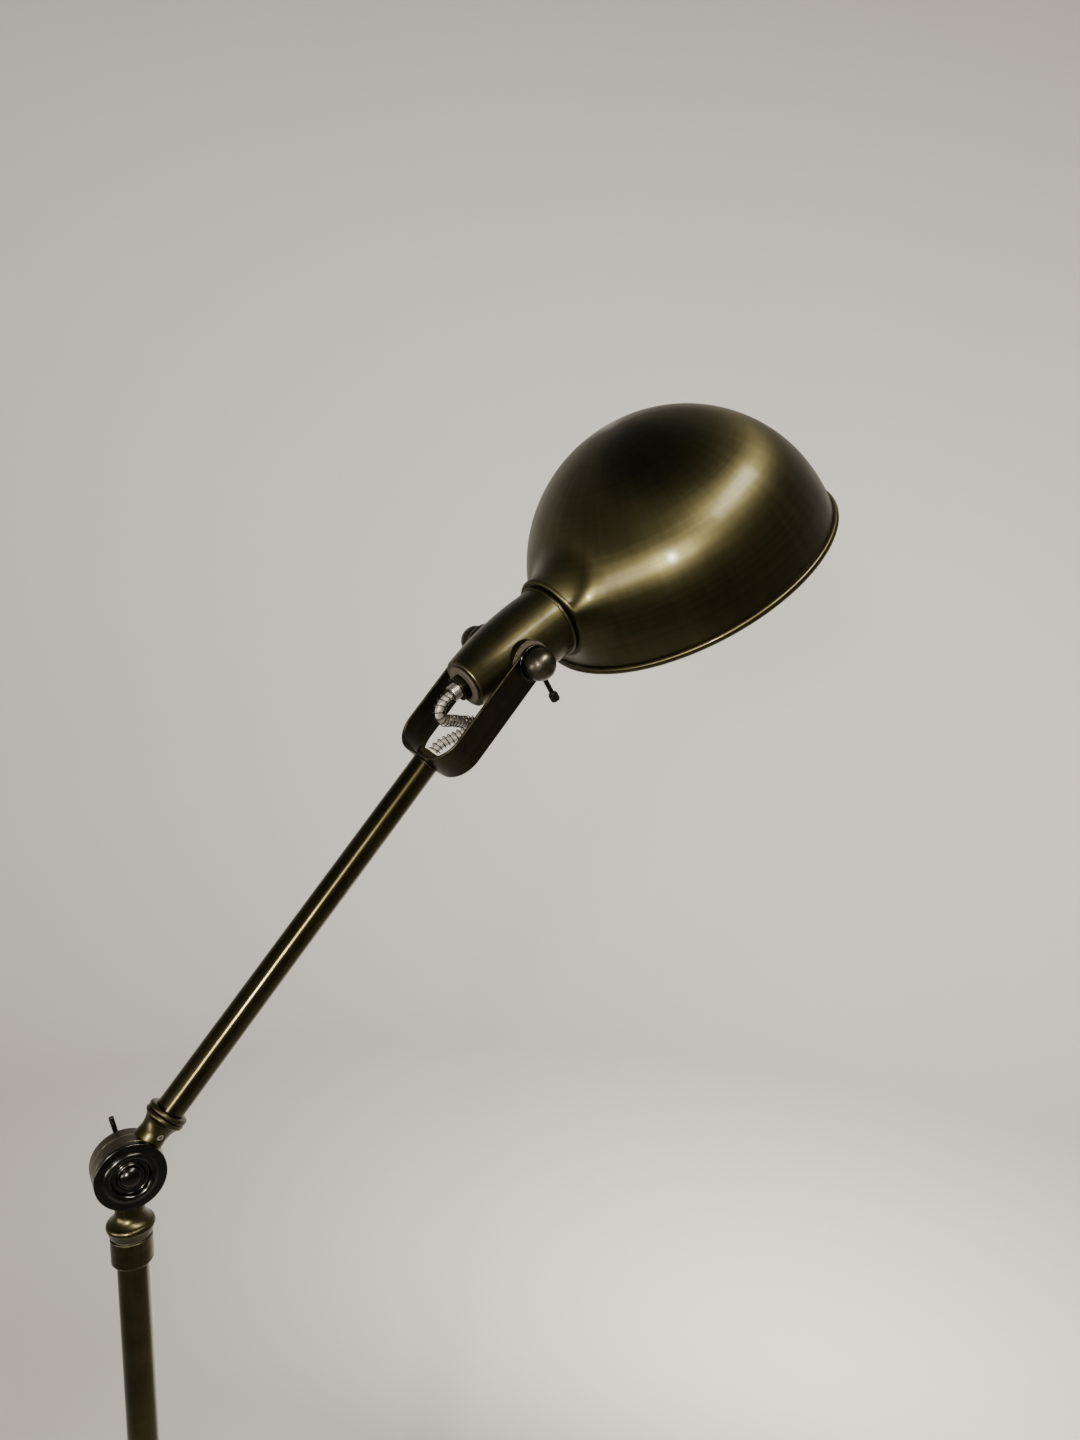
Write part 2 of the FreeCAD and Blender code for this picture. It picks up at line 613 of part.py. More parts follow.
def make_arm_knuckle():
    rings_top = ring_start + ring_high * 2
    bead = ring_high / 2
    neck = turned([
        (0, arm_neck_waist / 2),
        (arm_neck_r, arm_neck_waist / 2),
        (arm_neck_r, arm_neck_waist),
        (ring_r - bead / 2, ring_start, ring_sweep, RIGHT),
        (ring_r - bead / 2, ring_start + ring_high, ring_round, LEFT),
        (ring_r - bead / 2, rings_top, ring_round, LEFT),
        (arm_r + seat_gap, rings_top),
        (arm_r + seat_gap, rings_top - socket_depth),
        (thread_r + seat_gap, rings_top - socket_depth),
        (thread_r + seat_gap, stud_seat - seat_gap),
        (0, stud_seat - seat_gap),
    ], name="ArmNeck")
    plate = disc(-seam, -drum_half, -drum_edge, "FrontDisc")
    relief = across(drum_r + run_gap, -seam, drum_r)
    cap_room = across(drum_r + seat_gap, -drum_r, -drum_half)
    grub_spot = at((0, 0, grub_along), turn_about(Z_AXIS, grub_turn)).multiply(
        at(rotation=turn_about(X_AXIS, 90)))
    grub_hole = rod(grub_r + seat_gap, thread_r, ring_r, grub_spot)
    pin_hole = across(pin_r + seat_gap, -drum_r, drum_r)
    whole = fuse(cut(neck, relief, cap_room), plate)
    keep("arm_knuckle", cut(whole, grub_hole, pin_hole), arm)

    screw = rod(grub_r, thread_r + seat_gap, arm_neck_r - grub_sunk)
    socket = rod(grub_socket_r, arm_neck_r - grub_sunk - grub_r, arm_neck_r)
    keep("grub_screw", cut(screw, socket), arm.multiply(grub_spot))

    stud = ring(lead_bore, thread_r, stud_seat, stud_seat + stud_long)
    keep("arm_stud", stud, arm)
    return rings_top - socket_depth


def make_knuckle_cap():
    back = -drum_half
    face = back - cap_deep
    ridge_mid = (cap_land_r + cap_ridge_r) / 2
    ridge_round = cap_land_r - ridge_mid + cap_ridge / 2
    cap = turned([
        (pin_r + seat_gap, back),
        (drum_r, back),
        (drum_r, face + cap_edge),
        (drum_r - cap_edge, face, cap_edge, RIGHT),
        (cap_land_r, face),
        (ridge_mid, face - cap_ridge, ridge_round, RIGHT),
        (cap_ridge_r, face, ridge_round, RIGHT),
        (cap_ridge_r - cap_ridge / 2, face + cap_well),
        (cap_hub_r, face + cap_well),
        (cap_hub_r - cap_edge, face + cap_well / 2),
        (pin_r + seat_gap, face + cap_well / 2),
    ], "XY_Plane", "Cap")
    keep("knuckle_cap", cap, arm)

    seat = face + cap_well / 2
    screw = turned([
        (0, -drum_half + socket_depth / 2),
        (0, seat - dome_high),
        (dome_r, seat - dome_side, dome_ball, LEFT),
        (dome_r, seat),
        (pin_r, seat),
        (pin_r, -drum_half + socket_depth / 2),
    ], "XY_Plane", "DomedScrew")
    keep("domed_screw", screw, arm)


def make_clamp():
    start = drum_half + run_gap
    end = start + clamp_long
    hub = turned([
        (0, -drum_half + socket_depth),
        (pin_r - seat_gap, -drum_half + socket_depth),
        (pin_r - seat_gap, start),
        (clamp_r, start),
        (clamp_r, end - clamp_r / 3),
        (clamp_end_r, end, clamp_r / 2, LEFT),
        (0, end),
    ], "XY_Plane", "ClampHub")
    bar_spot = at((0, drum_half + bar_out, 0), turn_about(Y_AXIS, -bar_lean))
    bar_hole = rod(bar_r + seat_gap, -clamp_r * 2, clamp_r * 2, bar_spot)
    keep("clamp_hub", cut(hub, bar_hole), knuckle)
    keep("clamp_bar", rod(bar_r, -bar_half, bar_half), knuckle.multiply(bar_spot))


# ================================================================ arm
def make_arm(tube_foot):
    bore = arm_r - tube_wall
    tube_end = arm_reach - fork_drop - run_gap - plug_rim
    keep("arm_tube", ring(bore, arm_r, tube_foot, tube_end), arm)
    plug = turned([
        (thread_r + run_gap, tube_end - plug_long),
        (bore - seat_gap, tube_end - plug_long),
        (bore - seat_gap, tube_end),
        (arm_r, tube_end),
        (arm_r, tube_end + plug_rim),
        (thread_r + run_gap, tube_end + plug_rim),
    ], name="Plug")
    keep("arm_plug", plug, arm)
    lead_end = arm_reach - fork_drop - pipe_down - run_gap
    keep("arm_lead", rod(lead_r, stud_seat, lead_end), arm)


# ================================================================ fork
def make_fork():
    inner = fork_half - fork_thick
    low = -fork_drop
    top = fork_wide
    body = doc.addObject("PartDesign::Body", "Strap")
    side = fork_bend - fork_thick
    sketch = outline(body, "YZ_Plane", [
        (fork_half, top),
        (inner, top),
        (inner, low + fork_bend),
        (inner - side, low + fork_thick, side, RIGHT),
        (-inner + side, low + fork_thick),
        (-inner, low + fork_bend, side, RIGHT),
        (-inner, top),
        (-fork_half, top),
        (-fork_half, low + fork_bend),
        (-fork_half + fork_bend, low, fork_bend, LEFT),
        (fork_half - fork_bend, low),
        (fork_half, low + fork_bend, fork_bend, LEFT),
    ])
    pad = body.newObject("PartDesign::Pad", "Strip")
    pad.Profile = sketch
    bind(pad, Length=fork_wide)
    body.Tip = pad
    body.Placement.Base = FreeCAD.Vector(-fork_wide.value / 2, 0, 0)
    half = fork_wide / 2
    span = fork_half * 2 + fork_thick * 2
    ears = across(half, -span / 2, span / 2)
    strip = block((fork_wide, span, fork_drop + fork_thick), (-half, -span / 2, low - fork_thick))
    strap = common(body, fuse(ears, strip))
    pin_hole = across(pin_r + run_gap, -span / 2, span / 2)
    base_hole = rod(thread_r + seat_gap, low - fork_thick, low + fork_bend)
    keep("fork", cut(strap, pin_hole, base_hole), fork)

    floor = low + fork_thick
    nut_low = floor + washer_thick
    nut = hexagon(nut_flat, nut_low, nut_low + nut_thick)
    keep("fork_nut", cut(nut, rod(thread_r, low, nut_low + nut_thick * 2)), fork)
    keep("fork_washer", ring(thread_r + seat_gap, fork_half - fork_bend, floor, nut_low), fork)
    pipe_top = nut_low + nut_thick + seat_gap
    keep("fork_pipe", ring(thread_r - pipe_wall, thread_r, low - pipe_down, pipe_top), fork)
    bush = turned([
        (lead_bore, pipe_top - bush_sleeve),
        (lead_bore + bush_wall, pipe_top - bush_sleeve),
        (lead_bore + bush_wall, pipe_top),
        (bush_rim_r, pipe_top),
        (bush_rim_r, pipe_top + bush_rim / 2),
        (bush_rim_r - bush_rim / 2, pipe_top + bush_rim, bush_rim / 2, LEFT),
        (lead_bore, pipe_top + bush_rim),
    ], name="Bush")
    keep("lead_bush", bush, fork)
    return pipe_top + bush_rim


def make_pivot():
    """Studs, fibre washers, plain washers and ball nuts, alike on both sides."""
    inner = fork_half - fork_thick
    outer = fork_half
    studs = []
    fibres = []
    for side in (1, -1):
        turned_round = at(rotation=turn_about(X_AXIS, 90 if side == 1 else -90))
        head_out = cup_mid_r - cup_wall - stud_inset
        stud = fuse(rod(stud_head_r, head_out - stud_head, head_out),
                    rod(pin_r, head_out, ball_out))
        stud.Placement = turned_round
        studs.append(stud)
        fibre = ring(pin_r + run_gap, fibre_r, inner - seat_gap - fibre_thick, inner - seat_gap)
        fibre.Placement = turned_round
        fibres.append(fibre)
        prefix = "near" if side == 1 else "far"
        washer_low = outer + seat_gap
        washer = ring(pin_r + run_gap, knob_washer_r, washer_low, washer_low + knob_washer)
        keep(prefix + "_knob_washer", washer, head.multiply(turned_round))
        collar_low = washer_low + knob_washer
        collar_top = collar_low + ball_collar
        waist = root(ball_r * ball_r - (ball_out - collar_top) * (ball_out - collar_top))
        bore_end = collar_low + ball_bore
        nut = turned([
            (pin_r + seat_gap, bore_end),
            (pin_r + seat_gap, collar_low),
            (ball_collar_r, collar_low),
            (ball_collar_r, collar_top),
            (waist, collar_top),
            (ball_r, ball_out, ball_r, LEFT),
            (0, ball_out + ball_r, ball_r, LEFT),
            (0, bore_end),
        ], name="BallNut")
        keep(prefix + "_ball_nut", nut, head.multiply(turned_round))
    keep("pivot_studs", fuse(*studs), head)
    keep("fibre_washers", fuse(*fibres), head)


# ================================================================ socket cup
def make_cup():
    rear = -cup_rear
    boss_out = fork_half - fork_thick - seat_gap - fibre_thick - seat_gap
    skin = turned([
        (0, rear),
        (cup_rear_r - cup_edge, rear),
        (cup_rear_r, rear + cup_edge),
        (cup_front_r, cup_front - cup_lip_r * 2, cup_sweep, LEFT),
        (cup_front_r, cup_front, cup_lip_round, LEFT),
        (0, cup_front),
    ], name="CupSkin")
    hollow = turned([
        (0, rear + cup_wall),
        (cup_rear_r - cup_wall, rear + cup_wall),
        (cup_front_r - cup_wall, cup_front, cup_sweep, LEFT),
        (cup_front_r - cup_wall, cup_front + cup_wall),
        (0, cup_front + cup_wall),
    ], name="CupHollow")
    switch_spot = at((0, 0, switch_along), turn_about(Z_AXIS, -switch_turn)).multiply(
        at(rotation=turn_about(Y_AXIS, 90)))
    holes = (
        across(pin_r + seat_gap, -boss_out * 1.5, boss_out * 1.5),
        rod(thread_r + seat_gap, rear * 1.5, rear / 2),
        rod(switch_stem_r + run_gap * 2, holder_r, switch_out, switch_spot),
    )
    outside = fuse(skin, across(boss_r, -boss_out, boss_out))
    keep("socket_cup", cut(outside, hollow, *holes), head)

    washer_low = rear - rear_washer
    keep("rear_washer", ring(thread_r + seat_gap, rear_washer_r, washer_low, rear), head)
    nut_low = washer_low - rear_nut
    nut = hexagon(rear_nut_flat, nut_low, washer_low)
    keep("rear_nut", cut(nut, rod(thread_r, rear * 2, rear)), head)
    tail = nut_low - pipe_tail
    keep("cup_pipe", ring(lead_bore, thread_r, tail, holder_rear + cup_wall), head)
    lead_start = tail + pipe_tail + run_gap
    keep("cup_lead", rod(lead_r, lead_start, holder_rear + cup_wall), head)

    stem = rod(switch_stem_r, holder_r + run_gap, switch_out + switch_edge)
    knob = turned([
        (0, switch_out),
        (switch_knob_r - switch_edge, switch_out),
        (switch_knob_r, switch_out + switch_edge),
        (switch_knob_r, switch_out + switch_knob - switch_edge),
        (switch_knob_r - switch_edge, switch_out + switch_knob),
        (0, switch_out + switch_knob),
    ], name="SwitchKnob")
    keep("switch_stem", cut(stem, rod(switch_stem_r * 2, switch_out, switch_out * 2)),
         head.multiply(switch_spot))
    keep("switch_knob", knob, head.multiply(switch_spot))
    return tail


def make_lampholder():
    collar_top = cup_front
    inside = holder_r - holder_wall
    holder = turned([
        (thread_r + seat_gap, holder_rear),
        (holder_r, holder_rear),
        (holder_r, collar_top - collar_thick),
        (collar_r, collar_top - collar_thick),
        (collar_r, collar_top),
        (holder_r, collar_top),
        (holder_r, holder_mouth),
        (inside, holder_mouth),
        (inside, holder_floor),
        (thread_r + seat_gap, holder_floor - lamp_tip),
    ], name="Holder")
    keep("lampholder", holder, head)
    shell_r = inside - seat_gap
    shell = turned([
        (thread_r, shell_rear - lamp_tip),
        (shell_r, shell_rear - lamp_tip),
        (shell_r, holder_mouth - shell_wall),
        (shell_r - shell_wall, holder_mouth - shell_wall),
        (shell_r - shell_wall, shell_rear - lamp_tip + shell_wall),
        (thread_r, shell_rear - lamp_tip + shell_wall),
    ], name="ScrewShell")
    keep("screw_shell", shell, head)
    contact_low = shell_rear - lamp_tip + shell_wall + seat_gap
    keep("centre_contact", rod(contact_r, contact_low, contact_low + contact_thick), head)
    ring_low = cup_front + run_gap + shade_wall + run_gap
    keep("shade_ring", ring(holder_r, shade_ring_r, ring_low, ring_low + shade_ring), head)

    cap_low = lamp_cap_rear + lamp_tip
    tip_low = contact_low + contact_thick + seat_gap
    cap = turned([
        (0, tip_low),
        (lamp_tip_r, tip_low),
        (lamp_cap_r - lamp_tip / 2, cap_low),
        (lamp_cap_r, cap_low + lamp_tip / 2),
        (lamp_cap_r, glass_start),
        (lamp_cap_r - glass_wall, glass_start),
        (lamp_cap_r - glass_wall, cap_low + lamp_tip),
        (0, cap_low + lamp_tip),
    ], name="LampCap")
    keep("bulb_cap", cap, head)
    shoulder_low = glass_mid - glass_shoulder
    glass = turned([
        (glass_neck_r - glass_wall, glass_start),
        (glass_neck_r, glass_start),
        (glass_shoulder_r, shoulder_low, glass_sweep, RIGHT),
        (glass_r, glass_mid, glass_round, LEFT),
        (0, glass_mid + glass_r, glass_r, LEFT),
        (0, glass_mid + glass_r - glass_wall),
        (glass_r - glass_wall, glass_mid, glass_r - glass_wall, RIGHT),
        (glass_shoulder_r - glass_wall, shoulder_low + glass_wall / 2, glass_round - glass_wall,
         RIGHT),
        (glass_neck_r - glass_wall, glass_start + glass_wall, glass_sweep + glass_wall, LEFT),
    ], name="Glass")
    keep("bulb_glass", glass, head)


# ================================================================ shade
def dome_solid(radius, down):
    """A ball cut level at the given distance below its centre, pole up."""
    edge = root(radius * radius - down * down)
    return turned([
        (0, -down),
        (edge, -down),
        (radius, 0, radius, LEFT),
        (0, radius, radius, LEFT),
    ], name="Dome")


def shoulder(radius, rounding, low, high):
    """A round neck along Z with a rounded lower edge."""
    return turned([
        (0, low),
        (radius - rounding, low),
        (radius, low + rounding, rounding, LEFT),
        (radius, high),
        (0, high),
    ], name="Neck")


def seam_fillet(shape, neck_radius, blend):
    """Rounds the edge where the neck runs into the dome: the one edge that keeps its
    distance from the neck's axis and lies on the ball."""
    doc.recompute()
    ball_centre = FreeCAD.Vector(shade_aside.value, 0, shade_ahead.value)
    chosen = []
    for index, edge in enumerate(shape.Shape.Edges, 1):
        spots = [edge.valueAt(edge.FirstParameter + (edge.LastParameter - edge.FirstParameter) * k / 4)
                 for k in range(5)]
        on_neck = all(abs(math.hypot(p.x, p.y) - neck_radius.value) < 0.05 for p in spots)
        on_ball = all(abs((p - ball_centre).Length - shade_r.value) < shade_wall.value * 1.1
                      for p in spots)
        if on_neck and on_ball:
            chosen.append((index, blend.value, blend.value))
    rounded = doc.addObject("Part::Fillet", "Blend")
    rounded.Base = shape
    rounded.Edges = chosen
    return rounded


def make_shade():
    tilt = 90 + shade_slope.value
    dome_spot = at((shade_aside, 0, shade_ahead), turn_about(Y_AXIS, -tilt))
    inner_r = shade_r - shade_wall
    outer_dome = dome_solid(shade_r, rim_down)
    outer_dome.Placement = dome_spot
    inner_dome = dome_solid(inner_r, rim_down + rim_high)
    inner_dome.Placement = dome_spot
    neck_end = shade_ahead - shade_r / 2
    neck_inner = collar_neck_r - shade_wall
    web_rear = cup_front + run_gap
    outer_neck = shoulder(collar_neck_r, collar_round, web_rear, neck_end)
    inner_round = collar_round - shade_wall
    inner_neck = shoulder(neck_inner, inner_round, web_rear + shade_wall, neck_end)
    outside = seam_fillet(fuse(outer_dome, outer_neck), collar_neck_r, collar_blend)
    inside = seam_fillet(fuse(inner_dome, inner_neck), neck_inner, collar_blend + shade_wall)

    rim_inner = root(inner_r * inner_r - rim_down * rim_down)
    hem_r = rim_r - rim_high / 2 + shade_wall / 2
    hem = turned([
        (rim_inner, -rim_down),
        (hem_r, -rim_down),
        (rim_r, -rim_down + rim_high / 2, rim_round, LEFT),
        (hem_r, -rim_down + rim_high, rim_round, LEFT),
        (rim_inner + shade_wall / 2, -rim_down + rim_high),
    ], name="Hem")
    hem.Placement = dome_spot
    web_hole = rod(holder_r + run_gap, ZERO, web_rear + collar_round)
    keep("shade", cut(fuse(cut(outside, inside), hem), web_hole), shade_frame)


# ================================================================ spring guarded lead
def route_corners(lead_top, bush_top):
    """The loop's corners in the fork's frame, from the cup's pipe down to the bush, with
    the bend at each corner between the ends."""
    tilt = math.radians(cup_tilt.value)
    away = FreeCAD.Vector(-math.sin(tilt), 0, -math.cos(tilt))
    corners = [
        away * -lead_top.value,
        away * (easy_bend.value / 2 - lead_top.value),
        *[FreeCAD.Vector(*[number(side) for side in corner])
          for corner in (loop_rear, loop_right, loop_near)],
        FreeCAD.Vector(0, 0, bush_top.value + easy_bend.value / 2),
        FreeCAD.Vector(0, 0, bush_top.value),
    ]
    bends = [easy_bend.value] + [loop_bend.value] * 3 + [easy_bend.value]
    return corners, bends


class Route:
    """Straight runs joined by tangent arcs, measured by the distance along it. A side
    direction is carried along it without twisting."""

    def __init__(self, corners, bends):
        self.pieces = []
        side = FreeCAD.Vector(0, 1, 0)
        here = corners[0]
        for before, corner, after, bend in zip(corners, corners[1:], corners[2:], bends):
            into = (corner - before).normalize()
            out = (after - corner).normalize()
            turn = into.getAngle(out)
            trim = bend * math.tan(turn / 2)
            begin = corner - into * trim
            self.line(here, begin, into, side)
            inward = (out - into * into.dot(out)).normalize()
            self.pieces.append((bend * turn, begin, into, side, inward, bend))
            side = self.spot(self.length)[2]
            here = corner + out * trim
        self.line(here, corners[-1], out, side)

    @property
    def length(self):
        return sum(piece[0] for piece in self.pieces)

    def line(self, start, end, heading, side):
        run = end - start
        if run.dot(heading) < 0:
            raise RuntimeError("two bends of the lead run into each other")
        self.pieces.append((run.Length, start, heading, side, None, None))

    def spot(self, distance):
        """The point, heading, side and pull towards the bend's middle at a distance."""
        left = distance
        for piece in self.pieces:
            if left <= piece[0] or piece is self.pieces[-1]:
                break
            left -= piece[0]
        _, begin, into, side, inward, bend = piece
        if bend is None:
            return begin + into * left, into, side, FreeCAD.Vector()
        angle = left / bend
        point = begin + into * (bend * math.sin(angle)) + inward * (bend * (1 - math.cos(angle)))
        heading = into * math.cos(angle) + inward * math.sin(angle)
        centre_way = inward * math.cos(angle) - into * math.sin(angle)
        axle = into.cross(inward)
        carried = centre_way * side.dot(inward) + axle * side.dot(axle)
        return point, heading, carried, centre_way * (1 / bend)

    def edges(self):
        made = []
        done = 0
        for length, begin, into, _, inward, bend in self.pieces:
            last = self.spot(done + length - 1e-9)[0]
            if bend is None:
                made.append(Part.LineSegment(begin, begin + into * length).toShape())
            else:
                made.append(Part.Arc(begin, self.spot(done + length / 2)[0], last).toShape())
            done += length
        return made


def swept(edges, radius):
    """A solid tube of the given radius along joined edges."""
    wire = Part.Wire(edges)
    start = edges[0].valueAt(edges[0].FirstParameter)
    heading = edges[0].tangentAt(edges[0].FirstParameter)
    section = Part.Wire([Part.Circle(start, heading, radius).toShape()])
    shell = Part.BRepOffsetAPI.MakePipeShell(wire)
    shell.add(section)
    shell.build()
    shell.makeSolid()
    return shell.shape()


def biarc(start, leave, end, arrive):
    """Two tangent arcs from start to end with the given headings."""
    span = end - start
    along = leave + arrive
    spread = 2 * (1 - leave.dot(arrive))
    reach = span.dot(along)
    step = (math.sqrt(reach ** 2 + spread * span.dot(span)) - reach) / spread
    first = start + leave * step
    second = end - arrive * step
    joint = (first + second) * 0.5
    arcs = []
    for a, corner, b in ((start, first, joint), (joint, second, end)):
        half = (corner - a).getAngle(b - corner) / 2
        middle = (a + b) * 0.5
        share = math.cos(half) / (1 + math.cos(half))
        arcs.append(Part.Arc(a, middle + (corner - middle) * share, b))
    return arcs


def wound_wire(route, low, high):
    """The spring's centre line along the route, a quarter turn to each pair of arcs, with a
    short straight end at each face that it meets."""
    radius = guard_r.value
    wound = high - low - guard_pitch.value * 2
    turns = round(wound / guard_pitch.value)
    begin = low + guard_pitch.value
    rate = 2 * math.pi * turns / wound

    def spot(distance, angle):
        point, heading, side, pull = route.spot(distance)
        across_way = heading.cross(side)
        out = across_way * math.cos(angle) + side * math.sin(angle)
        around = side * math.cos(angle) - across_way * math.sin(angle)
        along = heading * (1 - pull.dot(out) * radius)
        return point + out * radius, (along + around * radius * rate).normalize(), heading

    quarter = math.pi / 2
    marks = [spot(begin + quarter / rate * k, quarter * k) for k in range(4 * turns + 1)]
    end = guard_wire_r.value * 2
    foot, _, out_of = spot(low + end, -quarter)
    top, _, into = spot(high - end, quarter * (4 * turns + 1))
    arcs = biarc(foot, out_of, marks[0][0], marks[0][1])
    for one, two in zip(marks, marks[1:]):
        arcs += biarc(one[0], one[1], two[0], two[1])
    arcs += biarc(marks[-1][0], marks[-1][1], top, into)
    edges = [Part.LineSegment(foot - out_of * end, foot).toShape()]
    edges += [arc.toShape() for arc in arcs]
    edges.append(Part.LineSegment(top, top + into * end).toShape())
    tightest = min(arc.toShape().Curve.Radius for arc in arcs)
    return edges, turns, tightest


def least_gap(edges, wire_radius, turns):
    """The least gap between turns, on points along the wire's centre line."""
    steps = 6
    points = []
    for edge in edges:
        span = edge.LastParameter - edge.FirstParameter
        points += [edge.valueAt(edge.FirstParameter + span * k / steps) for k in range(steps)]
    per_turn = int(len(points) / (turns + 1))
    best = min((points[i] - points[j]).Length
               for i in range(len(points))
               for j in range(i + per_turn // 2, min(i + per_turn * 14, len(points))))
    return best - 2 * wire_radius


def make_lead(pipe_tail_end, bush_top):
    lead_top = pipe_tail_end + lead_tuck
    lead_foot = bush_top - lead_tuck
    corners, bends = route_corners(pipe_tail_end, bush_top)
    corners[0] = corners[0] * (lead_top.value / pipe_tail_end.value)
    corners[-1] = FreeCAD.Vector(0, 0, lead_foot.value)
    route = Route(corners, bends)
    print("lead route: %.1f mm long, bends %s mm" % (route.length, bends))
    lead = doc.addObject("Part::Feature", "Lead")
    lead.Shape = swept(route.edges(), lead_r.value)
    drawn = math.pi * lead_r.value ** 2 * route.length
    print("lead volume: %.1f against %.1f" % (lead.Shape.Volume, drawn))
    keep("lead", lead, fork)

    margin = lead_tuck.value + run_gap.value
    edges, turns, tightest = wound_wire(route, margin, route.length - margin)
    spring = doc.addObject("Part::Feature", "Spring")
    spring.Shape = swept(edges, guard_wire_r.value)
    gap = least_gap(edges, guard_wire_r.value, turns)
    print("lead spring: %d turns, tightest arc %.2f mm, least gap %.2f mm" % (turns, tightest, gap))
    keep("lead_spring", spring, fork)


# ================================================================ build, check, write
post_bottom = make_base()
make_post(post_bottom)
make_post_knuckle()
tube_foot = make_arm_knuckle()
make_knuckle_cap()
make_clamp()
make_arm(tube_foot)
bush_top = make_fork()
make_pivot()
pipe_tail_end = make_cup()
make_lampholder()
make_shade()
make_lead(pipe_tail_end, bush_top)
doc.recompute()

for thing in doc.Objects:
    if "Invalid" in thing.State or "Error" in thing.State:
        raise RuntimeError("%s (%s) failed: %s" % (thing.Name, thing.Label, thing.State))
for label, thing in nodes.items():
    if thing.Shape.isNull() or not thing.Shape.isValid():
        raise RuntimeError("%s has no valid shape" % label)

os.makedirs("parts", exist_ok=True)
for label, thing in nodes.items():
    thing.Shape.exportStep("parts/%s.step" % label)
print("%d pieces written" % len(nodes))
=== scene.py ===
import math

import bmesh
import bpy
import numpy as np
from mathutils import Matrix, Vector


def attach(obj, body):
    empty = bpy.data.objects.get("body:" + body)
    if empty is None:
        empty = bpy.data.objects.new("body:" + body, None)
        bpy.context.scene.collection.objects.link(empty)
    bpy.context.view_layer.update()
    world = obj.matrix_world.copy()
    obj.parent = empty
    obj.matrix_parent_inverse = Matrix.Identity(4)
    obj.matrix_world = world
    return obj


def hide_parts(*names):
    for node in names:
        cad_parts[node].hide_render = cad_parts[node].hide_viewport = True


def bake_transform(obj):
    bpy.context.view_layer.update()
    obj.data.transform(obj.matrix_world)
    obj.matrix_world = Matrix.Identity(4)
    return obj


bl_info = {
    "name": "Bridge Floor Lamp",
    "version": (1, 0, 0),
    "blender": (4, 5, 0),
    "location": "3D View > Sidebar > Lamp",
    "description": "Dresses a bridge floor lamp from its base to its dome shade",
    "category": "Object",
}

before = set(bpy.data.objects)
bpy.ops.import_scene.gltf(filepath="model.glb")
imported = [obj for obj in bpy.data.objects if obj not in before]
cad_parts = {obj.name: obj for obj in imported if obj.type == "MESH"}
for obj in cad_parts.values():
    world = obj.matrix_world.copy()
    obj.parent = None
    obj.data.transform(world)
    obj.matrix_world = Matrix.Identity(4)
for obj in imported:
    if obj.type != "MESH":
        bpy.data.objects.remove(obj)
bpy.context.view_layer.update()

# The lamp stands on Z = 0 with its post on the Z axis, and its arm leans to +X. Outlines
# are in millimetres, meshes in metres.
MM = 0.001
LEFT, RIGHT = 1, -1
ARC_STEPS = 14
ROUND = 144
# The M10 pipes' outside and their clearance, the pivot studs' holes, the thin washers and
# the gap between the knuckle's or fork's moving faces.
PIPE_R, PIPE_HOLE, STUD_HOLE, WASHER, FACE_GAP = 5, 5.1, 3.1, 1.2, 0.3


# ================================================================ sizes and colours
def length(name, default, description):
    return bpy.props.FloatProperty(name=name, description=description, default=default * MM,
                                   unit="LENGTH", precision=5)


def angle(name, default, description):
    return bpy.props.FloatProperty(name=name, description=description, unit="ROTATION",
                                   default=math.radians(default))


def colour(name, default, description):
    return bpy.props.FloatVectorProperty(name=name, description=description, subtype="COLOR",
                                         size=3, min=0, max=1, default=default)


class LampStance(bpy.types.PropertyGroup):
    """How the lamp stands."""

    knuckle_rise: length("Knuckle height", 1220, "Height of the knuckle axis above the floor")
    arm_reach: length("Arm reach", 350, "From the knuckle axis to the shade pivot")
    arm_lean: angle("Arm lean", 40.7, "The arm's angle from upright")
    fork_turn: angle("Fork turn", 13.75, "The fork's turn about the arm")
    cup_tilt: angle("Cup tilt", 19.5, "The cup's tilt from the arm's line")
    shade_roll: angle("Shade roll", 9.15, "The shade's turn about the cup")


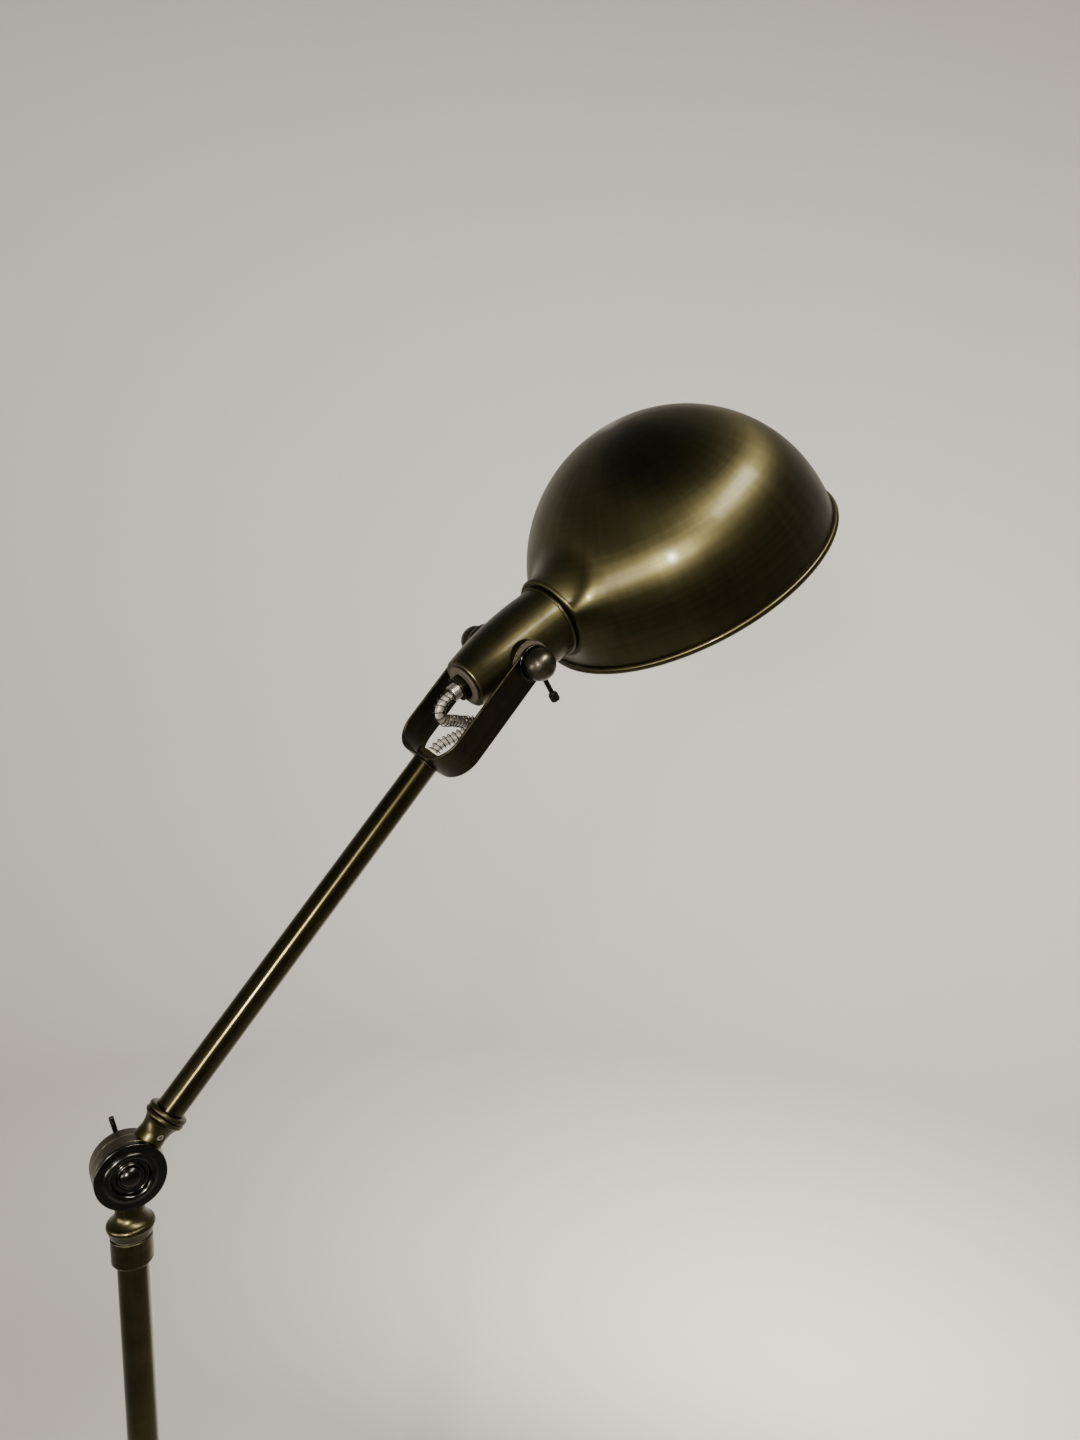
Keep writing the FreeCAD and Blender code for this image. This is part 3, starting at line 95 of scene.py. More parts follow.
class LampSizes(bpy.types.PropertyGroup):
    """Sizes of the lamp's pieces."""

    base_r: length("Base radius", 127, "Outside radius of the base cover")
    base_crown: length("Base crown", 23, "Height of the base cover at its middle")
    foot_r: length("Foot radius", 21, "Post foot's radius on the base")
    foot_rise: length("Foot height", 26, "Height of the post foot")
    post_r: length("Post radius", 8.3, "Outside radius of the post tube")
    arm_r: length("Arm radius", 8, "Outside radius of the arm tube")
    tube_wall: length("Tube wall", 1.5, "Wall of the post and arm tubes")
    drum_r: length("Knuckle radius", 18.45, "Radius of the knuckle discs")
    drum_half: length("Knuckle disc", 7.7, "One knuckle disc with its share of the seam")
    fork_half: length("Fork half width", 25.3, "The fork's outer face from its middle")
    fork_thick: length("Strap thickness", 1.6, "Thickness of the fork's strap")
    fork_wide: length("Strap width", 21, "Width of the fork's strap")
    fork_drop: length("Fork depth", 82, "The fork's underside below the shade pivot")
    fork_bend: length("Fork bend", 17.5, "Outer bend radius of the strap")
    ball_r: length("Ball nut radius", 9.7, "Radius of the ball nuts")
    ball_out: length("Ball nut distance", 30.6, "Ball nuts' centres from the fork's middle")
    cup_rear: length("Cup rear", 34.2, "The cup's rear face behind the pivot")
    cup_front: length("Cup front", 36.2, "The cup's lip ahead of the pivot")
    cup_rear_r: length("Cup rear radius", 15.6, "The cup's radius at its rear")
    cup_front_r: length("Cup front radius", 22.8, "The cup's radius at its lip")
    shade_r: length("Dome radius", 102.4, "Outside radius of the dome")
    shade_wall: length("Dome wall", 1.2, "Sheet thickness of the dome")
    shade_aside: length("Dome aside", 24.5, "The dome's centre aside from the cup's axis")
    shade_ahead: length("Dome ahead", 145.3, "The dome's centre ahead of the pivot")
    shade_slope: angle("Rim slope", 6.5, "The rim's slope against the cup's axis")
    lead_r: length("Lead radius", 2.5, "Radius of the flexible lead")
    spring_r: length("Spring radius", 3.4, "Winding radius of the lead's spring")
    spring_wire: length("Spring wire", 0.35, "Radius of the spring's wire")
    spring_pitch: length("Spring pitch", 3.0, "Rise of one turn of the spring")


class LampFinish(bpy.types.PropertyGroup):
    """Colours of the lamp's finishes and of the stage."""

    bronze: colour("Bronze", (0.052, 0.047, 0.022), "Antique bronze where it is worn light")
    bronze_deep: colour("Deep bronze", (0.013, 0.0105, 0.006), "Antique bronze where it is dark")
    edge_bronze: colour("Edge bronze", (0.20, 0.175, 0.115), "Bronze rubbed bright at the edges")
    gunmetal: colour("Gunmetal", (0.034, 0.033, 0.032), "The knuckle's dark grey")
    ball: colour("Ball nuts", (0.062, 0.058, 0.043), "Mottled grey bronze of the ball nuts")
    steel: colour("Steel", (0.52, 0.50, 0.47), "Plain steel washers and pipes")
    brass: colour("Brass", (0.62, 0.44, 0.18), "Screw shell and contact")
    wall: colour("Studio wall", (0.60, 0.585, 0.565), "Pale floor and wall of the stage")


# ================================================================ skins: points and faces
class Skin:
    """Points and faces in metres with what the finishes read at each point: grain (way
    round as a unit pair, and the way along in metres), around (the direction of the
    brush marks) and wear (1 on a rubbed edge)."""

    def __init__(self, points, faces, grain, around, wear, finish=0):
        self.points = np.asarray(points, float).reshape(-1, 3)
        self.faces = faces
        self.grain = np.asarray(grain, float).reshape(-1, 3)
        self.around = np.asarray(around, float).reshape(-1, 3)
        self.wear = np.asarray(wear, float)
        self.finish = finish

    def moved(self, place):
        turn = np.array(place.to_3x3(), float)
        self.points = self.points @ turn.T + np.array(place.translation, float)
        self.around = self.around @ turn.T
        return self

    def mesh(self, name):
        made = bpy.data.meshes.new(name)
        made.from_pydata(self.points.tolist(), [], self.faces)
        for title, kind, values in (("grain", "FLOAT_VECTOR", self.grain),
                                    ("around", "FLOAT_VECTOR", self.around),
                                    ("wear", "FLOAT", self.wear)):
            layer = made.attributes.new(title, kind, "POINT")
            field = "value" if kind == "FLOAT" else "vector"
            layer.data.foreach_set(field, values.astype(np.float32).ravel())
        outward(made)
        return made

    @classmethod
    def of(cls, mesh, finish=0):
        count = len(mesh.vertices)
        points = np.zeros(count * 3)
        mesh.vertices.foreach_get("co", points)
        read = {}
        for title, field, width in (("grain", "vector", 3), ("around", "vector", 3),
                                    ("wear", "value", 1)):
            read[title] = np.zeros(count * width)
            mesh.attributes[title].data.foreach_get(field, read[title])
        faces = [list(face.vertices) for face in mesh.polygons]
        return cls(points, faces, read["grain"], read["around"], read["wear"], finish)


def outward(mesh):
    work = bmesh.new()
    work.from_mesh(mesh)
    bmesh.ops.recalc_face_normals(work, faces=work.faces)
    work.to_mesh(mesh)
    work.free()


def bow(start, end, radius, turn):
    """Points of the short arc from start to end that turns left or right, without start."""
    start, end = np.array(start, float), np.array(end, float)
    chord = end - start
    span = np.linalg.norm(chord)
    aside = np.array((-chord[1], chord[0])) / span
    centre = (start + end) / 2 + aside * turn * math.sqrt(max(radius ** 2 - span ** 2 / 4, 0))
    first = math.atan2(*(start - centre)[::-1])
    last = math.atan2(*(end - centre)[::-1])
    sweep = (last - first + math.pi) % (2 * math.pi) - math.pi
    turns = [first + sweep * k / ARC_STEPS for k in range(1, ARC_STEPS + 1)]
    return [centre + radius * np.array((math.cos(at), math.sin(at))) for at in turns]


def eased(corners):
    """The points of a closed outline with their wear. A corner is (across, up) left sharp,
    (across, up, ease), or (across, up, radius, turn) at the end of an arc."""
    raw = []
    for index, corner in enumerate(corners):
        if len(corner) == 4:
            before = corners[index - 1][:2]
            raw += [(point, 0) for point in bow(before, corner[:2], corner[2], corner[3])]
        else:
            raw.append((np.array(corner[:2], float), corner[2] if len(corner) == 3 else 0))
    points = []
    for index, (point, ease) in enumerate(raw):
        if not ease:
            points.append((point, 0.0))
            continue
        back = raw[index - 1][0] - point
        on = raw[(index + 1) % len(raw)][0] - point
        reach = [min(ease / np.linalg.norm(way), 0.42) for way in (back, on)]
        one, two = point + back * reach[0], point + on * reach[1]
        points.append((point + back * min(reach[0] * 1.7, 0.48), 0.0))
        for t in (0, 0.25, 0.5, 0.75, 1):
            spot = one * (1 - t) ** 2 + point * 2 * t * (1 - t) + two * t ** 2
            points.append((spot, 1.0 if 0 < t < 1 else 0.6))
        points.append((point + on * min(reach[1] * 1.7, 0.48), 0.0))
    return points


def turned(corners, place, about="Z", around=ROUND, finish=0):
    """A solid turned about the place's own Z or Y from an outline in millimetres."""
    outline = eased(corners)
    flat = np.array([point for point, _ in outline]) * MM
    wear = [value for _, value in outline]
    along = np.concatenate(([0], np.cumsum(np.linalg.norm(np.diff(flat, axis=0), axis=1))))
    turns = np.linspace(0, 2 * math.pi, around, endpoint=False)
    points, grain, way, rubbed, rows = [], [], [], [], []
    for (radius, up), length_on, value in zip(flat, along, wear):
        if abs(radius) < 1e-9:
            rows.append([len(points)] * around)
            points.append((0, 0, up))
            grain.append((1, 0, length_on))
            way.append((0, 1, 0))
            rubbed.append(value)
            continue
        rows.append(list(range(len(points), len(points) + around)))
        for turn in turns:
            c, s = math.cos(turn), math.sin(turn)
            points.append((radius * c, radius * s, up))
            grain.append((c, s, length_on))
            way.append((-s, c, 0))
            rubbed.append(value)
    faces = []
    for one, two in zip(rows, rows[1:] + rows[:1]):
        for k in range(around):
            after = (k + 1) % around
            face = [one[k], one[after], two[after], two[k]]
            face = list(dict.fromkeys(face))
            if len(face) > 2:
                faces.append(face)
    skin = Skin(points, faces, grain, way, rubbed, finish)
    if about == "Y":
        skin.moved(Matrix.Rotation(math.radians(-90), 4, "X"))
    return skin.moved(place)


def nut(flats, bore, low, high, place):
    """A hexagon nut with its corners turned down, by half its width across flats."""
    sides, per_side = 6, 14
    around = sides * per_side
    down = flats * 1.03
    rows, points, grain, way, rubbed = [], [], [], [], []
    for step in ("bore_low", "low", "low_edge", "high_edge", "high", "bore_high"):
        row = []
        for k in range(around):
            turn = 2 * math.pi * k / around
            c, s = math.cos(turn), math.sin(turn)
            full = flats / math.cos((turn % (math.pi / 3)) - math.pi / 6)
            drop = max(full - down, 0) * math.tan(math.radians(32))
            radius, up = {
                "bore_low": (bore, low), "low": (min(full, down), low),
                "low_edge": (full, low + drop + 0.05), "high_edge": (full, high - drop - 0.05),
                "high": (min(full, down), high), "bore_high": (bore, high)}[step]
            row.append(len(points))
            points.append((radius * c * MM, radius * s * MM, up * MM))
            grain.append((c, s, (up + radius) * MM))
            way.append((-s, c, 0))
            rubbed.append(1.0 if step in ("low", "high") else max(0, (full - flats * 1.08) / flats))
        rows.append(row)
    faces = []
    for one, two in zip(rows, rows[1:] + rows[:1]):
        for k in range(around):
            after = (k + 1) % around
            faces.append([one[k], one[after], two[after], two[k]])
    return Skin(points, faces, grain, way, rubbed).moved(place)


def bored(skin, *tools):
    """The skin with the tools' space taken out of it, one after another."""
    body = bpy.data.objects.new("bored", skin.mesh("bored"))
    helpers = [bpy.data.objects.new("tool", tool.mesh("tool")) for tool in tools]
    for thing in [body] + helpers:
        bpy.context.scene.collection.objects.link(thing)
    for helper in helpers:
        step = body.modifiers.new("Bore", "BOOLEAN")
        step.operation = "DIFFERENCE"
        step.solver = "EXACT"
        step.object = helper
    graph = bpy.context.evaluated_depsgraph_get()
    result = Skin.of(bpy.data.meshes.new_from_object(body.evaluated_get(graph)), skin.finish)
    if not result.faces:
        raise RuntimeError("a bored piece came out empty")
    for thing in [body] + helpers:
        bpy.data.objects.remove(thing)
    return result


def relieved(skin, place, radius, keep_y, upward):
    """Pushes the neck's end out of the other disc's space: a hollow of that radius about
    the place's Y axis, on the side away from keep_y."""
    back = np.array(place.inverted(), float)
    local = skin.points @ back[:3, :3].T + back[:3, 3]
    for point in local:
        if point[1] * keep_y < 0 and abs(point[0]) < radius:
            edge = math.sqrt(radius ** 2 - point[0] ** 2)
            point[2] = max(point[2], edge) if upward else min(point[2], -edge)
    out = np.array(place, float)
    skin.points = local @ out[:3, :3].T + out[:3, 3]
    return skin


def assemble(name, skins, finishes, body, stands_for=(), sharp=38):
    """Joins skins into one named piece that rides on a body."""
    joined = bmesh.new()
    for skin in skins:
        part = skin.mesh(name)
        for face in part.polygons:
            face.material_index = skin.finish
        joined.from_mesh(part)
        bpy.data.meshes.remove(part)
    mesh = bpy.data.meshes.new(name)
    joined.to_mesh(mesh)
    joined.free()
    return settle(name, mesh, finishes, body, stands_for, sharp)


def dress(node_name, skins, finish, body, sharp=38):
    """Assembles the piece of one finish that stands for the frame's node of that name."""
    return assemble(node_name + "_skin", skins, [finish], body, [node_name], sharp)


def settle(name, mesh, finishes, body, stands_for=(), sharp=38):
    """Gives a finished mesh its materials and its body, and hides what it stands for."""
    mesh.materials.clear()
    for finish in finishes:
        mesh.materials.append(bpy.data.materials[finish])
    mesh.shade_smooth()
    mesh.set_sharp_from_angle(angle=math.radians(sharp))
    piece = bpy.data.objects.new(name, mesh)
    bpy.context.scene.collection.objects.link(piece)
    if body:
        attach(piece, body)
    if stands_for:
        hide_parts(*stands_for)
    return piece


def places():
    """The frames of the lamp's parts, from the floor up to the shade."""
    stance = bpy.context.scene.lamp_stance
    knuckle = Matrix.Translation((0, 0, stance.knuckle_rise))
    arm = knuckle @ Matrix.Rotation(stance.arm_lean, 4, "Y")
    fork = (arm @ Matrix.Translation((0, 0, stance.arm_reach))
            @ Matrix.Rotation(stance.fork_turn, 4, "Z"))
    head = fork @ Matrix.Rotation(stance.cup_tilt, 4, "Y")
    shade = head @ Matrix.Rotation(-stance.shade_roll, 4, "Z")
    return {"floor": Matrix.Identity(4), "knuckle": knuckle, "arm": arm, "fork": fork,
            "head": head, "shade": shade}


def millimetres(group, *names):
    return [getattr(group, name) / MM for name in names]


# ================================================================ finishes
def group_socket(tree, name, kind="NodeSocketFloat", out=False, default=None):
    socket = tree.interface.new_socket(name=name, in_out="OUTPUT" if out else "INPUT",
                                       socket_type=kind)
    if default is not None:
        socket.default_value = default


def linked(tree, *pairs):
    for source, target in pairs:
        tree.links.new(source, target)


def node(tree, kind, **settings):
    made = tree.nodes.new(kind)
    for name, value in settings.items():
        if name in made.inputs:
            made.inputs[name].default_value = value
        else:
            setattr(made, name, value)
    return made


def drawn_marks_group():
    """Brush or tool marks: noise stretched along one way of the grain."""
    tree = bpy.data.node_groups.new("Drawn Marks", "ShaderNodeTree")
    group_socket(tree, "Round", default=1.0)
    group_socket(tree, "Along", default=800.0)
    group_socket(tree, "Height", out=True)
    group_socket(tree, "Mask", out=True)
    start = tree.nodes.new("NodeGroupInput")
    end = tree.nodes.new("NodeGroupOutput")
    grain = node(tree, "ShaderNodeAttribute", attribute_name="grain")
    ways = tree.nodes.new("ShaderNodeCombineXYZ")
    scaled = node(tree, "ShaderNodeVectorMath", operation="MULTIPLY")
    fine = node(tree, "ShaderNodeTexNoise", Scale=1.0, Detail=3.0, Roughness=0.65)
    broad = node(tree, "ShaderNodeTexNoise", Scale=0.17, Detail=2.0, Roughness=0.5)
    mask = node(tree, "ShaderNodeMapRange")
    mask.inputs["From Min"].default_value = 0.36
    mask.inputs["From Max"].default_value = 0.66
    linked(tree,
           (start.outputs["Round"], ways.inputs["X"]),
           (start.outputs["Round"], ways.inputs["Y"]),
           (start.outputs["Along"], ways.inputs["Z"]),
           (grain.outputs["Vector"], scaled.inputs[0]),
           (ways.outputs["Vector"], scaled.inputs[1]),
           (scaled.outputs["Vector"], fine.inputs["Vector"]),
           (scaled.outputs["Vector"], broad.inputs["Vector"]),
           (fine.outputs["Fac"], end.inputs["Height"]),
           (broad.outputs["Fac"], mask.inputs["Value"]),
           (mask.outputs["Result"], end.inputs["Mask"]))


def patina_group():
    """Cloudy tarnish in three sizes, from the piece's own coordinates."""
    tree = bpy.data.node_groups.new("Patina", "ShaderNodeTree")
    group_socket(tree, "Size", default=30.0)
    group_socket(tree, "Low", default=0.35)
    group_socket(tree, "High", default=0.68)
    group_socket(tree, "Mask", out=True)
    group_socket(tree, "Specks", out=True)
    group_socket(tree, "Height", out=True)
    start = tree.nodes.new("NodeGroupInput")
    end = tree.nodes.new("NodeGroupOutput")
    spot = tree.nodes.new("ShaderNodeTexCoord")
    cloud = node(tree, "ShaderNodeTexNoise", Detail=5.0, Roughness=0.62, Distortion=0.4)
    speck = node(tree, "ShaderNodeTexNoise", Scale=900.0, Detail=2.0, Roughness=0.6)
    pit = node(tree, "ShaderNodeTexNoise", Scale=2400.0, Detail=2.0, Roughness=0.7)
    spread = tree.nodes.new("ShaderNodeMapRange")
    dots = node(tree, "ShaderNodeMapRange")
    dots.inputs["From Min"].default_value = 0.60
    dots.inputs["From Max"].default_value = 0.72
    linked(tree,
           (spot.outputs["Object"], cloud.inputs["Vector"]),
           (spot.outputs["Object"], speck.inputs["Vector"]),
           (spot.outputs["Object"], pit.inputs["Vector"]),
           (start.outputs["Size"], cloud.inputs["Scale"]),
           (cloud.outputs["Fac"], spread.inputs["Value"]),
           (start.outputs["Low"], spread.inputs["From Min"]),
           (start.outputs["High"], spread.inputs["From Max"]),
           (spread.outputs["Result"], end.inputs["Mask"]),
           (speck.outputs["Fac"], dots.inputs["Value"]),
           (dots.outputs["Result"], end.inputs["Specks"]),
           (pit.outputs["Fac"], end.inputs["Height"]))


def rubbed_edge_group():
    """Where edges are rubbed bright: the wear at each point broken up by noise."""
    tree = bpy.data.node_groups.new("Rubbed Edge", "ShaderNodeTree")
    group_socket(tree, "Amount", default=1.0)
    group_socket(tree, "Mask", out=True)
    start = tree.nodes.new("NodeGroupInput")
    end = tree.nodes.new("NodeGroupOutput")
    wear = node(tree, "ShaderNodeAttribute", attribute_name="wear")
    spot = tree.nodes.new("ShaderNodeTexCoord")
    patchy = node(tree, "ShaderNodeTexNoise", Scale=160.0, Detail=3.0, Roughness=0.6)
    break_up = tree.nodes.new("ShaderNodeMapRange")
    break_up.inputs["From Min"].default_value = 0.3
    break_up.inputs["From Max"].default_value = 0.62
    both = node(tree, "ShaderNodeMath", operation="MULTIPLY")
    much = node(tree, "ShaderNodeMath", operation="MULTIPLY", use_clamp=True)
    linked(tree,
           (spot.outputs["Object"], patchy.inputs["Vector"]),
           (patchy.outputs["Fac"], break_up.inputs["Value"]),
           (wear.outputs["Fac"], both.inputs[0]),
           (break_up.outputs["Result"], both.inputs[1]),
           (both.outputs["Value"], much.inputs[0]),
           (start.outputs["Amount"], much.inputs[1]),
           (much.outputs["Value"], end.inputs["Mask"]))


def tinted(tree, first, second, share):
    """A colour between two, by a mask. Either colour is a socket or a fixed value."""
    mix = tree.nodes.new("ShaderNodeMix")
    mix.data_type = "RGBA"
    for value, name in ((first, "A"), (second, "B")):
        socket = [s for s in mix.inputs if s.name == name and s.type == "RGBA"][0]
        if isinstance(value, bpy.types.NodeSocket):
            tree.links.new(value, socket)
        else:
            socket.default_value = (*value, 1)
    if isinstance(share, bpy.types.NodeSocket):
        tree.links.new(share, mix.inputs["Factor"])
    else:
        mix.inputs["Factor"].default_value = share
    return [s for s in mix.outputs if s.type == "RGBA"][0]


def sum_of(tree, *parts):
    """A weighted sum of sockets: pairs of a socket and its weight."""
    total = None
    for socket, weight in parts:
        step = node(tree, "ShaderNodeMath", operation="MULTIPLY_ADD")
        tree.links.new(socket, step.inputs[0])
        step.inputs[1].default_value = weight
        if total is None:
            step.inputs[2].default_value = 0
        else:
            tree.links.new(total, step.inputs[2])
        total = step.outputs["Value"]
    return total


def placed_group(tree, name, **values):
    made = tree.nodes.new("ShaderNodeGroup")
    made.node_tree = bpy.data.node_groups[name]
    for key, value in values.items():
        made.inputs[key].default_value = value
    return made


def new_finish(name):
    finish = bpy.data.materials.new(name)
    finish.use_nodes = True
    return finish.node_tree, finish.node_tree.nodes["Principled BSDF"]


def shaded(tone, share):
    """A tone made darker by a share."""
    return [part * share for part in tone]


def metal(name, light, dark, edge, roughness, spread, patina_size, rings, strokes, marks,
          coat, coat_rough, rub, relief, stretch=0.0, low=0.35, high=0.68, lengthwise=False):
    """A metal finish: tarnish between two tones, tool marks both ways, rubbed edges."""
    tree, shader = new_finish(name)
    ring = placed_group(tree, "Drawn Marks", Round=rings[0], Along=rings[1])
    stroke = placed_group(tree, "Drawn Marks", Round=strokes[0], Along=strokes[1])
    patina = placed_group(tree, "Patina", Size=patina_size, Low=low, High=high)
    worn = placed_group(tree, "Rubbed Edge", Amount=rub)
    base = tinted(tree, dark, light, patina.outputs["Mask"])
    streak = sum_of(tree, (ring.outputs["Mask"], 0.30 * marks),
                    (stroke.outputs["Mask"], 0.35 * marks), (patina.outputs["Specks"], 0.25))
    base = tinted(tree, base, shaded(dark, 0.55), streak)
    base = tinted(tree, base, edge, worn.outputs["Mask"])
    linked(tree, (base, shader.inputs["Base Color"]))
    uneven = sum_of(tree, (patina.outputs["Mask"], -spread),
                    (ring.outputs["Height"], spread * marks),
                    (stroke.outputs["Height"], spread * marks), (worn.outputs["Mask"], -0.08))
    shift = node(tree, "ShaderNodeMath", operation="ADD", use_clamp=True)
    shift.inputs[1].default_value = roughness
    height = sum_of(tree, (ring.outputs["Height"], marks), (stroke.outputs["Height"], marks),
                    (patina.outputs["Height"], 0.35))
    bump = node(tree, "ShaderNodeBump", Strength=1.0, Distance=relief)
    linked(tree, (uneven, shift.inputs[0]), (shift.outputs["Value"], shader.inputs["Roughness"]),
           (height, bump.inputs["Height"]), (bump.outputs["Normal"], shader.inputs["Normal"]))
    shader.inputs["Metallic"].default_value = 1.0
    shader.inputs["Coat Weight"].default_value = coat
    shader.inputs["Coat Roughness"].default_value = coat_rough
    if stretch:
        shader.inputs["Anisotropic"].default_value = stretch
        shader.inputs["Anisotropic Rotation"].default_value = 0.25 if lengthwise else 0.0
        way = node(tree, "ShaderNodeAttribute", attribute_name="around")
        turn = tree.nodes.new("ShaderNodeVectorTransform")
        turn.vector_type = "VECTOR"
        turn.convert_from = "OBJECT"
        turn.convert_to = "WORLD"
        linked(tree, (way.outputs["Vector"], turn.inputs["Vector"]),
               (turn.outputs["Vector"], shader.inputs["Tangent"]))


def plain(name, light, dark, roughness, spread, grain_size, relief, metallic):
    """A moulded, cast or felt finish: two tones and an uneven skin."""
    tree, shader = new_finish(name)
    patina = placed_group(tree, "Patina", Size=grain_size, Low=0.3, High=0.7)
    base = tinted(tree, dark, light, patina.outputs["Mask"])
    base = tinted(tree, base, dark, patina.outputs["Specks"])
    spot = tree.nodes.new("ShaderNodeTexCoord")
    skin = node(tree, "ShaderNodeTexNoise", Scale=grain_size * 18, Detail=4.0, Roughness=0.7)
    uneven = sum_of(tree, (patina.outputs["Mask"], spread))
    shift = node(tree, "ShaderNodeMath", operation="ADD", use_clamp=True)
    shift.inputs[1].default_value = roughness
    bump = node(tree, "ShaderNodeBump", Strength=1.0, Distance=relief)
    linked(tree, (base, shader.inputs["Base Color"]), (uneven, shift.inputs[0]),
           (shift.outputs["Value"], shader.inputs["Roughness"]),
           (spot.outputs["Object"], skin.inputs["Vector"]),
           (skin.outputs["Fac"], bump.inputs["Height"]),
           (bump.outputs["Normal"], shader.inputs["Normal"]))
    shader.inputs["Metallic"].default_value = metallic


def lead_cover_finish():
    """Clear sheath over tinned strands: slanting pale strands under a gloss."""
    tree, shader = new_finish("Clear Lead")
    grain = node(tree, "ShaderNodeAttribute", attribute_name="grain")
    wave = node(tree, "ShaderNodeTexWave", Scale=1.0, Distortion=1.2, Detail=2.0)
    wave.wave_type = "BANDS"
    wave.bands_direction = "X"
    patina = placed_group(tree, "Patina", Size=300.0, Low=0.3, High=0.7)
    base = tinted(tree, (0.13, 0.125, 0.115), (0.40, 0.385, 0.36), wave.outputs["Fac"])
    base = tinted(tree, base, (0.09, 0.085, 0.078), patina.outputs["Specks"])
    rough = sum_of(tree, (wave.outputs["Fac"], 0.12), (patina.outputs["Mask"], 0.15))
    shift = node(tree, "ShaderNodeMath", operation="ADD", use_clamp=True)
    shift.inputs[1].default_value = 0.18
    bump = node(tree, "ShaderNodeBump", Strength=0.7, Distance=0.00015)
    linked(tree, (grain.outputs["Vector"], wave.inputs["Vector"]),
           (base, shader.inputs["Base Color"]),
           (rough, shift.inputs[0]), (shift.outputs["Value"], shader.inputs["Roughness"]),
           (wave.outputs["Fac"], bump.inputs["Height"]),
           (bump.outputs["Normal"], shader.inputs["Normal"]))
    shader.inputs["Metallic"].default_value = 0.45
    shader.inputs["Coat Weight"].default_value = 0.6
    shader.inputs["Coat Roughness"].default_value = 0.08


def lamp_glass_finish():
    """Frosted glass that glows warm from inside."""
    tree, shader = new_finish("Lamp Glass")
    patina = placed_group(tree, "Patina", Size=60.0, Low=0.2, High=0.8)
    base = tinted(tree, (0.93, 0.91, 0.86), (0.98, 0.97, 0.94), patina.outputs["Mask"])
    glow = tinted(tree, (1.0, 0.80, 0.52), (1.0, 0.86, 0.62), patina.outputs["Mask"])
    uneven = sum_of(tree, (patina.outputs["Height"], 0.2))
    shift = node(tree, "ShaderNodeMath", operation="ADD", use_clamp=True)
    shift.inputs[1].default_value = 0.32
    bump = node(tree, "ShaderNodeBump", Strength=0.4, Distance=0.00005)
    linked(tree, (base, shader.inputs["Base Color"]), (glow, shader.inputs["Emission Color"]),
           (uneven, shift.inputs[0]), (shift.outputs["Value"], shader.inputs["Roughness"]),
           (patina.outputs["Height"], bump.inputs["Height"]),
           (bump.outputs["Normal"], shader.inputs["Normal"]))
    shader.inputs["Transmission Weight"].default_value = 0.35
    shader.inputs["Emission Strength"].default_value = 5.0


